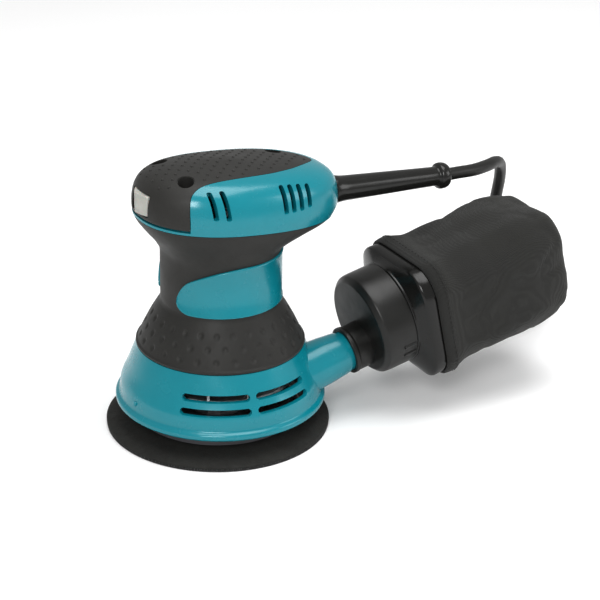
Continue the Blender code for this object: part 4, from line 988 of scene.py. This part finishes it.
def badge_edges(turn):
    span = BADGE_SPANS[1] if turn > 0 else -BADGE_SPANS[0]
    turn = abs(turn)
    low = NECK_FOOT + 1.0
    fall = max(0.0, (turn - span + 73.0) / 73.0)
    high = NECK_TOP - 0.7 - 14.0 * fall**2.1
    nose = max(0.0, (turn - span + 15.0) / 15.0)
    middle = low + (high - low) * 0.42
    share = math.sqrt(max(0.0, 1 - nose**2)) + 0.03 * nose
    return middle - (middle - low) * share, middle + (high - middle) * share


def make_badge():
    """A plain glossy plate round the neck with a rolled edge and round noses."""
    inner = NECK_RADIUS + 0.05
    count = 200
    centre = (BADGE_SPANS[0] + BADGE_SPANS[1]) / 2
    reach = (BADGE_SPANS[1] - BADGE_SPANS[0]) / 2
    loops = []
    for i in range(count + 1):
        along = 2 * i / count - 1
        turn = -centre + reach * (math.sin(math.pi / 2 * along) * 0.35 + along * 0.65)
        low, high = badge_edges(-turn)
        angle = math.radians(turn)
        edge = min(0.8, (high - low) / 5)
        section = [(inner, low), (inner + 0.7, low + 0.02), (inner + 1.15, low + edge * 0.4)]
        section += [(inner + 1.2, low + edge), (inner + 0.7, low + edge * 1.8)]
        section += [(inner + 0.7, high - edge * 1.8), (inner + 1.2, high - edge)]
        section += [(inner + 1.15, high - edge * 0.4), (inner + 0.7, high - 0.02), (inner, high)]
        loops.append([(r * math.cos(angle), r * math.sin(angle), z) for r, z in section])
    badge = skin("badge_band", loops, FINISHES["teal_plastic"], crease=60.0)
    settle(badge, "housing", "teal_plastic", "badge_plate")


def head_form(name, inset=0.0, drop=0.0, rise=0.0, finish=None, parts=6, count=180):
    """The head above its parting line, moved in by an inset, with its foot lowered or raised."""
    first = UPPER_SECTIONS[0]
    foot = (first[0], first[1] - drop + rise, first[2], first[3] - drop + rise, first[4])
    rows = smooth_rows(UPPER_SECTIONS, parts)
    rows = [foot] + [row for row in rows[(0 if drop else 1) :] if row[1] > foot[1] + 0.3]
    made = skin(name, [egg(*row, 2.3, 4.0, count) for row in rows], finish, crease=60.0)
    if inset:
        shape = bmesh.new()
        shape.from_mesh(made.data)
        shape.normal_update()
        for vert in shape.verts:
            vert.co -= vert.normal * inset * MM
        shape.to_mesh(made.data)
        shape.free()
    return made


def palm_outline(margin):
    """Plan of the palm grip, moved in by a margin: the whole front, then a band that narrows to a tip."""
    side = [Vector(point) for point in PALM_EDGE[:1]] + [Vector(p) for p in smooth_rows(PALM_EDGE[1:], 4)]
    moved = []
    for k, point in enumerate(side):
        before = side[max(k - 1, 0)]
        after = side[k + 1] if k + 1 < len(side) else Vector((point.x, -side[k - 1].y))
        along = (after - before).normalized()
        moved.append(point + Vector((along.y, -along.x)) * margin)
    outline = [(-70.0, -60.0), (-70.0, 60.0)] + [(p.x, p.y) for p in moved[:-1]]
    outline.append((moved[-1].x, 0.0))
    return outline + [(p.x, -p.y) for p in reversed(moved[:-1])]


def head_cutters():
    """The switch window and the screw recesses, which go through both the palm grip and the cover."""
    window = rounded([(-9.4, 130.7, 1.2), (9.4, 130.7, 1.2), (9.4, 142.5, 1.2), (-9.4, 142.5, 1.2)], 4)
    cutters = [prism("window", window, -60.0, -38.0, None, "X")]
    for x, y, top in COVER_SCREWS:
        seat = top + 1.6
        cutters.append(lathe("recess", [(0, seat), (4.7, seat), (4.7, 160), (0, 160)], None, 48, (x, y)))
    return merged("openings", cutters)


def make_head():
    """The palm grip let into the cover, with vents, screw recesses and the grip's small dots."""
    palm = head_form("palm_pad", rise=2.45, finish=FINISHES["black_rubber"])
    cut(
        palm,
        ("INTERSECT", prism("plan", palm_outline(0.12), 100.0, 170.0)),
        ("DIFFERENCE", head_form("core", 1.65, drop=6.0, parts=2, count=90)),
        ("DIFFERENCE", head_cutters()),
        crease=45.0,
    )
    settle(palm, "housing", "black_rubber", "palm_grip")

    groove = head_form("groove", -1.0, rise=2.2)
    cut(
        groove,
        ("INTERSECT", prism("plan", palm_outline(-0.15), 100.0, 170.0)),
        ("DIFFERENCE", head_form("core", 1.95, drop=6.0, parts=2, count=90)),
    )
    cover = head_form("cover_shell", finish=FINISHES["teal_plastic"])
    vents = []
    for foot_x, foot_z, top_x, top_z, near in VENTS:
        half = 1.4
        outline = rounded([
            (top_x - half, top_z, 1.1),
            (top_x + half, top_z, 1.1),
            (foot_x + half, foot_z, 1.1),
            (foot_x - half, foot_z, 1.1),
        ], 4)
        for low, high in ((-45.0, -near), (near, 45.0)):
            vents.append(prism("vent", outline, low, high, None, "Y"))
    guard_turn = Matrix.Rotation(math.pi / 2 + GUARD_DROP, 4, "Y")
    guard_hole = lathe("hole", [(0, -16), (6.25, -16), (6.25, 6), (0, 6)], None, 48)
    put(guard_hole, GUARD_BASE, guard_turn)
    cut(
        cover,
        ("DIFFERENCE", groove),
        ("DIFFERENCE", head_form("cavity", 4.0, drop=6.0, parts=2, count=90)),
        ("DIFFERENCE", head_cutters()),
        ("DIFFERENCE", merged("vents", vents)),
        ("DIFFERENCE", guard_hole),
        crease=40.0,
    )
    settle(cover, "housing", "teal_plastic", "head_cover")
    make_dots(palm)
    form = head_form("form", parts=3, count=120)
    probe = BVHTree.FromObject(form, bpy.context.evaluated_depsgraph_get())
    for i in range(3):
        make_screw(i, probe)
    bpy.data.objects.remove(form)


def make_dots(palm):
    """Low round dots in a staggered pattern over the palm grip's top."""
    height = bpy.context.scene.sander_sizes.dot_height / MM
    tree = BVHTree.FromObject(palm, bpy.context.evaluated_depsgraph_get())
    edge = palm_outline(3.0)
    spots = []
    for row in range(-10, 11):
        for column in range(-12, 16):
            x = column * 7.4 + (3.7 if row % 2 else 0.0)
            y = row * 3.7
            clear = all(math.hypot(x - sx, y - sy) > 6.4 for sx, sy, _ in COVER_SCREWS)
            if clear and inside_outline(x, y, edge):
                spots.append((x, y))
    points = []
    faces = []
    for x, y in spots:
        hit, normal, _, _ = tree.ray_cast(Vector((x, y, 200.0)) * MM, Vector((0, 0, -1)))
        if hit is None or normal.z < 0.62:
            continue
        turn = normal.to_track_quat("Z", "Y").to_matrix()
        base = len(points)
        for radius, rise in ((0.8, -0.3), (0.8, 0.0), (0.62, height * 0.75), (0.3, height)):
            for i in range(12):
                angle = 2 * math.pi * i / 12
                offset = turn @ Vector((radius * math.cos(angle), radius * math.sin(angle), rise))
                points.append(tuple(hit / MM + offset))
        for level in range(3):
            for i in range(12):
                j = (i + 1) % 12
                low = base + 12 * level
                faces.append((low + i, low + j, low + 12 + j, low + 12 + i))
        faces.append(tuple(base + i for i in range(12)))
        faces.append(tuple(base + 36 + i for i in range(12)))
    dots = piece("palm_dots", points, faces, FINISHES["black_rubber"], crease=60.0)
    settle(dots, "housing", "black_rubber")


def inside_outline(x, y, outline):
    inside = False
    for (x1, y1), (x2, y2) in zip(outline, outline[1:] + outline[:1]):
        if (y1 > y) != (y2 > y) and x < (x2 - x1) * (y - y1) / (y2 - y1) + x1:
            inside = not inside
    return inside


def make_screw(i, probe):
    """A dark pan-head screw with a cross recess, down in its hole."""
    x, y, top = COVER_SCREWS[i]
    seat = top + 1.9
    corners = [(0, top - 9, 0), (1.6, top - 9, 0.4), (1.6, seat, 0), (3.1, seat, 0.3)]
    corners += [(3.1, seat + 1.2, 1.0), (2.0, seat + 2.3, 1.2), (0, seat + 2.5, 0)]
    outline = rounded(corners, 4)
    screw = lathe(f"cover_screw_{i + 1}_head", outline, FINISHES["dark_steel"], 48, (x, y))
    bars = []
    for angle in (0.5, 0.5 + math.pi / 2):
        cross = [(-1.9, -0.42), (1.9, -0.42), (1.9, 0.42), (-1.9, 0.42)]
        bar = prism("bar", cross, seat + 0.9, seat + 4.0)
        bars.append(put(bar, (x, y, 0), Matrix.Rotation(angle, 4, "Z")))
    cut(screw, *[("DIFFERENCE", bar) for bar in bars])
    settle(screw, "housing", "steel", f"cover_screw_{i + 1}")
    floor = top + 1.65
    below = Vector((0, 0, -1))
    rims = []
    for point in ring_points(4.75, 200.0, 48, (x, y)):
        rims.append(probe.ray_cast(Vector(point) * MM, below)[0].z / MM - 0.2)
    loops = [ring_points(radius, floor, 48, (x, y)) for radius in (3.15, 4.65)]
    for radius in (4.65, 4.3):
        ring = ring_points(radius, 0.0, 48, (x, y))
        loops.append([(u, v, rim) for (u, v, _), rim in zip(ring, rims)])
    loops += [ring_points(radius, floor + 0.3, 48, (x, y)) for radius in (4.3, 3.15)]
    liner = skin(f"recess_liner_{i + 1}", loops, FINISHES["black_rubber"], closed=True)
    settle(liner, "housing", "black_rubber")


def make_guard():
    """The long strain relief with a collar, a slim taper and a bead at its end."""
    end = GUARD_LENGTH
    outline = rounded([
        (0, -24.0, 0),
        (4.6, -24.0, 0.5),
        (4.6, -9.0, 0),
        (7.0, -9.0, 0.3),
        (7.0, -6.6, 0.3),
        (5.8, -6.6, 0.2),
        (5.8, 1.6, 0.2),
        (7.7, 1.6, 0.6),
        (7.7, 4.2, 1.2),
        (7.0, 8.0, 4.0),
        (5.4, end - 10.5, 6.0),
        (5.5, end - 7.6, 0.8),
        (7.3, end - 6.4, 1.4),
        (7.5, end - 3.4, 1.8),
        (6.6, end - 0.8, 1.4),
        (4.6, end, 0.6),
        (0, end, 0),
    ], 6)
    guard = lathe("cord_guard_sleeve", outline, FINISHES["glossy_guard"], 72, crease=45.0)
    put(guard, GUARD_BASE, Matrix.Rotation(math.pi / 2 + GUARD_DROP, 4, "Y"))
    settle(guard, "housing", "dark_plastic", "cord_guard")


def make_switch():
    """The milky cover folded down its middle over the rocker, at the off position."""
    rest = Matrix.Rotation(math.radians(-5.0), 4, "Z")
    low, high = -5.5, 5.5
    outline = [(1.0, -8.6), (1.0, 8.6), (-1.3, 8.6), (-3.2, 5.0), (-4.4, 1.2), (-4.7, 0.0)]
    outline += [(-4.4, -1.2), (-3.2, -5.0), (-1.3, -8.6)]
    cover = prism("switch_cover_fold", outline, low, high, FINISHES["grey_rubber"], crease=40.0)
    bevel = cover.modifiers.new("edges", "BEVEL")
    bevel.width = 0.7 * MM
    bevel.segments = 4
    bevel.limit_method = "ANGLE"
    bevel.angle_limit = math.radians(40)
    put(cover, SWITCH_PIVOT, rest)
    settle(cover, "switch", "grey_rubber", "switch_cover")


def spout_place(rise, along):
    return SPOUT_MOUTH + ACROSS * rise + ALONG * along


def make_nozzle():
    """The push-on nozzle: a short sleeve that opens into a wide flat disc with grip ribs low on its rim."""
    face = DISC_START
    back = face + DISC_THICKNESS
    wall = 2.5
    outline = rounded([
        (0, face, 0),
        (DISC_RADIUS - 3.0, face, 0.7),
        (DISC_RADIUS - 0.4, face + 2.6, 0.7),
        (DISC_RADIUS, face + 5.5, 2.0),
        (DISC_RADIUS, back, 0.6),
        (DISC_RADIUS - wall, back, 0.4),
        (DISC_RADIUS - wall, face + wall + 1.5, 1.0),
        (DISC_RADIUS - wall - 2.0, face + wall, 1.0),
        (0, face + wall, 0),
    ], 5)
    nozzle = lathe("nozzle_shell", outline, FINISHES["dark_plastic"], 144)
    put(nozzle, spout_place(DISC_RISE, 0.0), SPOUT_TURN)
    bore = SPOUT_RADIUS + 0.35
    sleeve = bore + 1.5
    pipe = rounded([
        (0, 0, 0),
        (sleeve + 0.3, 0, 0.5),
        (sleeve + 0.3, 2.4, 0.5),
        (sleeve - 0.1, 2.9, 0.4),
        (sleeve - 0.1, SPOUT_REACH + 0.5, 0),
        (0, SPOUT_REACH + 0.5, 0),
    ], 4)
    hole = [(0, -2), (bore, -2), (bore, SPOUT_REACH + 2), (0, SPOUT_REACH + 2)]
    cut(
        nozzle,
        ("UNION", put(lathe("pipe", pipe, None, 96), SPOUT_MOUTH, SPOUT_TURN)),
        ("DIFFERENCE", put(lathe("hole", hole, None, 96), SPOUT_MOUTH, SPOUT_TURN)),
    )
    settle(nozzle, "nozzle", "dark_plastic", "dust_nozzle")
    ribs = []
    for bearing in (-76.0, -64.0):
        angle = math.radians(bearing)
        bar = rounded([(-0.9, -0.9, 0.3), (0.9, -0.9, 0.3), (0.9, 0.75, 0.7), (-0.9, 0.75, 0.7)], 3)
        rib = prism("rib", bar, back - 8.5, back - 1.0, None, "Z")
        at = Vector((math.cos(angle), math.sin(angle), 0)) * (DISC_RADIUS - 0.1)
        put(rib, at, Matrix.Rotation(angle - math.pi / 2, 4, "Z"))
        ribs.append(put(rib, spout_place(DISC_RISE, 0.0), SPOUT_TURN))
    grips = merged("nozzle_ribs", ribs)
    grips.data.materials.append(FINISHES["dark_plastic"])
    grips.data.shade_smooth()
    grips.data.set_sharp_from_angle(angle=math.radians(35))
    settle(grips, "nozzle", "dark_plastic")


def bag_loop(outline, rise, along):
    origin = spout_place(rise, along)
    return [tuple(origin + ACROSS * u + Vector((0, v, 0))) for u, v in outline]


def frame_loop(size, corner, along, count=128):
    return bag_loop(square_loop(size, corner, count), FRAME_RISE, along)


def round_loop(radius, along, count=128):
    """A circle with its points spaced like those of the frame's rounded square."""
    loop = []
    for u, v in square_loop(2 * radius, radius * 0.55, count):
        angle = math.atan2(v, u)
        loop.append((radius * math.cos(angle), radius * math.sin(angle)))
    return bag_loop(loop, DISC_RISE, along)


def make_bag_frame():
    """The stiff hood that turns the round nozzle into the bag's square mouth."""
    back = DISC_START + DISC_THICKNESS
    collar = DISC_RADIUS - 2.5 - 0.35
    low = back + 0.15
    mouth = low + 14.3
    size = FRAME_SIZE
    rows = [
        round_loop(collar, back - 3.5),
        round_loop(collar, low),
        round_loop(DISC_RADIUS - 0.5, low),
        round_loop(DISC_RADIUS, low + 0.5),
        round_loop(DISC_RADIUS, low + 1.4),
    ]
    circle = [Vector(p) for p in rows[-1]]
    square = [Vector(p) for p in frame_loop(size - 2.4, FRAME_CORNER - 2.0, low + 5.6)]
    for k in range(1, 8):
        share = k / 8
        rows.append([tuple(a + (b - a) * share) for a, b in zip(circle, square)])
    rows += [
        frame_loop(size - 2.4, FRAME_CORNER - 2.0, low + 5.6),
        frame_loop(size - 0.9, FRAME_CORNER - 1.0, low + 6.0),
        frame_loop(size, FRAME_CORNER - 0.5, low + 7.0),
        frame_loop(size, FRAME_CORNER, mouth - 0.5),
        frame_loop(size - 0.8, FRAME_CORNER, mouth),
        frame_loop(size - 4.0, FRAME_CORNER - 2.0, mouth),
        frame_loop(size - 4.0, FRAME_CORNER - 2.0, low + 9.5),
        frame_loop(size - 8.0, FRAME_CORNER - 2.0, low + 8.5),
        round_loop(collar - 2.0, low + 3.5),
        round_loop(collar - 2.0, back - 3.5),
    ]
    hood = skin("bag_frame_hood", rows, FINISHES["satin_frame"], closed=True, crease=42.0)
    settle(hood, "bag", "dark_plastic", "bag_frame")
    return mouth


def make_bag():
    """The cloth bag: a hem over the frame, soft folds, seams and a sewn end."""
    mouth = make_bag_frame()
    folds = bpy.context.scene.sander_sizes.wrinkle_depth / MM
    start = mouth - 1.2
    end = mouth + BAG_LENGTH + 0.3
    rows = smooth_rows((
        (start, FRAME_SIZE + 1.4, FRAME_CORNER),
        (start + 3.0, FRAME_SIZE + 1.9, FRAME_CORNER),
        (start + 8.0, FRAME_SIZE + 1.6, FRAME_CORNER),
        (start + 18.0, BAG_SIZE - 1.2, BAG_CORNER - 1.0),
        (start + 38.0, BAG_SIZE, BAG_CORNER),
        (end - 24.0, BAG_SIZE + 0.3, BAG_CORNER),
        (end - 9.0, BAG_SIZE - 3.5, BAG_CORNER - 1.0),
        (end - 3.0, BAG_SIZE - 10.0, BAG_CORNER - 3.0),
        (end - 0.4, BAG_SIZE - 24.0, BAG_CORNER - 7.0),
        (end, BAG_SIZE - 44.0, 10.0),
        (end, BAG_SIZE - 62.0, 2.2),
    ), 7)
    count = 160
    middle = spout_place(FRAME_RISE, 0.0)
    loops = []
    for along, size, corner in rows:
        loop = []
        slack = min(1.0, max(0.0, (along - start - 9.0) / 22.0))
        for point in frame_loop(size, corner, along, count):
            place = Vector(point)
            out = place - middle
            out -= ALONG * out.dot(ALONG)
            out.normalize()
            wide = noise.noise(place * 0.022 + Vector((3.1, 0.4, 1.7)))
            drawn = Vector((place.x * 0.045, place.y * 0.075, place.z * 0.075))
            crumple = noise.noise(drawn + Vector((9.0, 2.0, 5.0)))
            crease = 1 - abs(noise.noise(place * 0.05 + Vector((0.0, 7.7, 2.2)))) * 5
            push = slack * folds * (0.9 * wide + 0.55 * crumple - 0.35 * max(0.0, crease))
            loop.append(tuple(place + out * push))
        loops.append(loop)
    inner = [frame_loop(FRAME_SIZE + 0.25, FRAME_CORNER, start, count)]
    inner.append(frame_loop(FRAME_SIZE + 0.25, FRAME_CORNER, mouth + 0.4, count))
    inner.append(frame_loop(FRAME_SIZE - 6.0, FRAME_CORNER - 3.0, mouth + 0.5, count))
    inner.append(frame_loop(4.0, 1.9, mouth + 0.6, count))
    bag = skin("dust_bag_cloth", inner[::-1] + loops, FINISHES["bag_fabric"], crease=60.0)
    settle(bag, "bag", "bag_fabric", "dust_bag")

    rises = ((start - 0.3, 1.5), (start + 0.2, 2.5), (start + 3.2, 3.1), (start + 6.6, 3.0))
    rises += ((start + 7.4, 2.4), (start + 7.4, 1.2))
    band = [frame_loop(FRAME_SIZE + proud, FRAME_CORNER, along, count) for along, proud in rises]
    band.append(frame_loop(FRAME_SIZE + 0.5, FRAME_CORNER, start - 0.3, count))
    hem = skin("bag_hem", band, FINISHES["bag_binding"], closed=True, crease=50.0)
    settle(hem, "bag", "bag_fabric")
    make_stitches(start + 5.6)


def make_stitches(along):
    """A row of short raised threads round the hem."""
    line = [Vector(p) for p in frame_loop(FRAME_SIZE + 3.3, FRAME_CORNER, along, 720)]
    lengths = [(b - a).length for a, b in zip(line, line[1:] + line[:1])]
    total = sum(lengths)
    count = round(total / 3.2)
    threads = []
    for i in range(count):
        ends = []
        for offset in (-1.0, 1.0):
            target = (i * total / count + offset) % total
            run = 0.0
            for k, step in enumerate(lengths):
                if run + step >= target:
                    ends.append(line[k].lerp(line[(k + 1) % len(line)], (target - run) / step))
                    break
                run += step
        direction = (ends[1] - ends[0]).normalized()
        side = direction.cross(ALONG).normalized()
        loops = []
        for share, thick in ((0.0, 0.12), (0.12, 0.24), (0.5, 0.27), (0.88, 0.24), (1.0, 0.12)):
            centre = ends[0].lerp(ends[1], share)
            loop = []
            for k in range(6):
                angle = math.pi / 3 * k
                loop.append(tuple(centre + (side * math.cos(angle) + ALONG * math.sin(angle)) * thick))
            loops.append(loop)
        threads.append(skin("thread", loops, None))
    row = merged("bag_stitches", threads)
    row.data.materials.append(FINISHES["bag_fabric"])
    row.data.shade_smooth()
    settle(row, "bag", "bag_fabric")


NODE_FINISHES = {
    "steel": (
        "pad_screw_1 pad_screw_2 pad_screw_3 pad_bearing_inner pad_bearing_outer motor_shaft armature_core "
        "stator_core upper_bearing_inner upper_bearing_outer lower_bearing_inner lower_bearing_outer "
        "shroud_screw_1 shroud_screw_2 shroud_screw_3 clamp_screw_1 clamp_screw_2 "
        "brush_spring_1 brush_spring_2"
    ),
    "copper": "armature_winding_upper armature_winding_lower commutator field_coil_1 field_coil_2",
    "brass": "brush_holder_1 brush_holder_2 suppressor_capacitor",
    "carbon": "carbon_brush_1 carbon_brush_2",
    "zinc_casting": "pad_hub eccentric_crank",
    "fan_alloy": "cooling_fan",
    "glass_nylon": "motor_housing bearing_plate cord_clamp",
    "dark_plastic": "switch_rocker switch_body",
}


def finish_inside():
    """Gives the carried-over inner pieces their finishes."""
    for finish, names in NODE_FINISHES.items():
        for name in names.split():
            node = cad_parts[name]
            node.data.materials.clear()
            node.data.materials.append(FINISHES[finish])
            node.data.shade_smooth()
            node.data.set_sharp_from_angle(angle=math.radians(32))


# ---------------------------------------------------------------- operators and panel


class MakeStudio(bpy.types.Operator):
    """Makes the camera, the floor and the lights, and the finishes that every piece uses"""

    bl_idname = "sander.studio"
    bl_label = "Studio and finishes"

    def execute(self, context):
        make_finishes()
        make_studio()
        return {"FINISHED"}


class MakeCord(bpy.types.Operator):
    """Makes the mains cord with its coil and plug"""

    bl_idname = "sander.cord"
    bl_label = "Cord and plug"

    def execute(self, context):
        make_cord()
        return {"FINISHED"}


class MakePad(bpy.types.Operator):
    """Makes the sanding pad and the brake ring over it"""

    bl_idname = "sander.pad"
    bl_label = "Sanding pad"

    def execute(self, context):
        make_pad()
        return {"FINISHED"}


class MakeShroud(bpy.types.Operator):
    """Makes the slotted skirt and its dust spout"""

    bl_idname = "sander.shroud"
    bl_label = "Shroud"

    def execute(self, context):
        make_shroud()
        return {"FINISHED"}


class MakeGrip(bpy.types.Operator):
    """Makes the dimpled rubber grip and the badge band"""

    bl_idname = "sander.grip"
    bl_label = "Grip and badge"

    def execute(self, context):
        make_grip()
        return {"FINISHED"}


class MakeHead(bpy.types.Operator):
    """Makes the cover with its vents, the palm grip with its dots, and the screws"""

    bl_idname = "sander.head"
    bl_label = "Head"

    def execute(self, context):
        make_head()
        return {"FINISHED"}


class MakeSwitch(bpy.types.Operator):
    """Makes the switch cover and the cord guard"""

    bl_idname = "sander.switch"
    bl_label = "Switch and guard"

    def execute(self, context):
        make_switch()
        make_guard()
        return {"FINISHED"}


class MakeNozzle(bpy.types.Operator):
    """Makes the dust nozzle that pushes on to the spout"""

    bl_idname = "sander.nozzle"
    bl_label = "Dust nozzle"

    def execute(self, context):
        make_nozzle()
        return {"FINISHED"}


class MakeBag(bpy.types.Operator):
    """Makes the cloth dust bag and its stiff frame"""

    bl_idname = "sander.bag"
    bl_label = "Dust bag"

    def execute(self, context):
        make_bag()
        return {"FINISHED"}


class FinishInside(bpy.types.Operator):
    """Gives the motor and the other inner pieces their finishes"""

    bl_idname = "sander.inside"
    bl_label = "Inner pieces"

    def execute(self, context):
        finish_inside()
        return {"FINISHED"}


OPERATORS = (
    MakeStudio,
    MakeCord,
    MakePad,
    MakeShroud,
    MakeGrip,
    MakeHead,
    MakeSwitch,
    MakeNozzle,
    MakeBag,
    FinishInside,
)


class SanderPanel(bpy.types.Panel):
    """Lists the sander's settings and the steps that build it"""

    bl_idname = "VIEW3D_PT_sander"
    bl_label = "Sander"
    bl_space_type = "VIEW_3D"
    bl_region_type = "UI"
    bl_category = "Sander"

    def draw(self, context):
        for group in (context.scene.sander_sizes, context.scene.sander_colours):
            for key in group.__annotations__:
                self.layout.prop(group, key)
        for operator in OPERATORS:
            self.layout.operator(operator.bl_idname)


def register():
    for group in (SanderSizes, SanderColours, *OPERATORS, SanderPanel):
        bpy.utils.register_class(group)
    bpy.types.Scene.sander_sizes = bpy.props.PointerProperty(type=SanderSizes)
    bpy.types.Scene.sander_colours = bpy.props.PointerProperty(type=SanderColours)


def unregister():
    del bpy.types.Scene.sander_colours
    del bpy.types.Scene.sander_sizes
    for group in (SanderPanel, *reversed(OPERATORS), SanderColours, SanderSizes):
        bpy.utils.unregister_class(group)


def main():
    register()
    bpy.ops.sander.studio()
    bpy.ops.sander.cord()
    bpy.ops.sander.pad()
    bpy.ops.sander.shroud()
    bpy.ops.sander.grip()
    bpy.ops.sander.head()
    bpy.ops.sander.switch()
    bpy.ops.sander.nozzle()
    bpy.ops.sander.bag()
    bpy.ops.sander.inside()


if __name__ == "__main__":
    main()
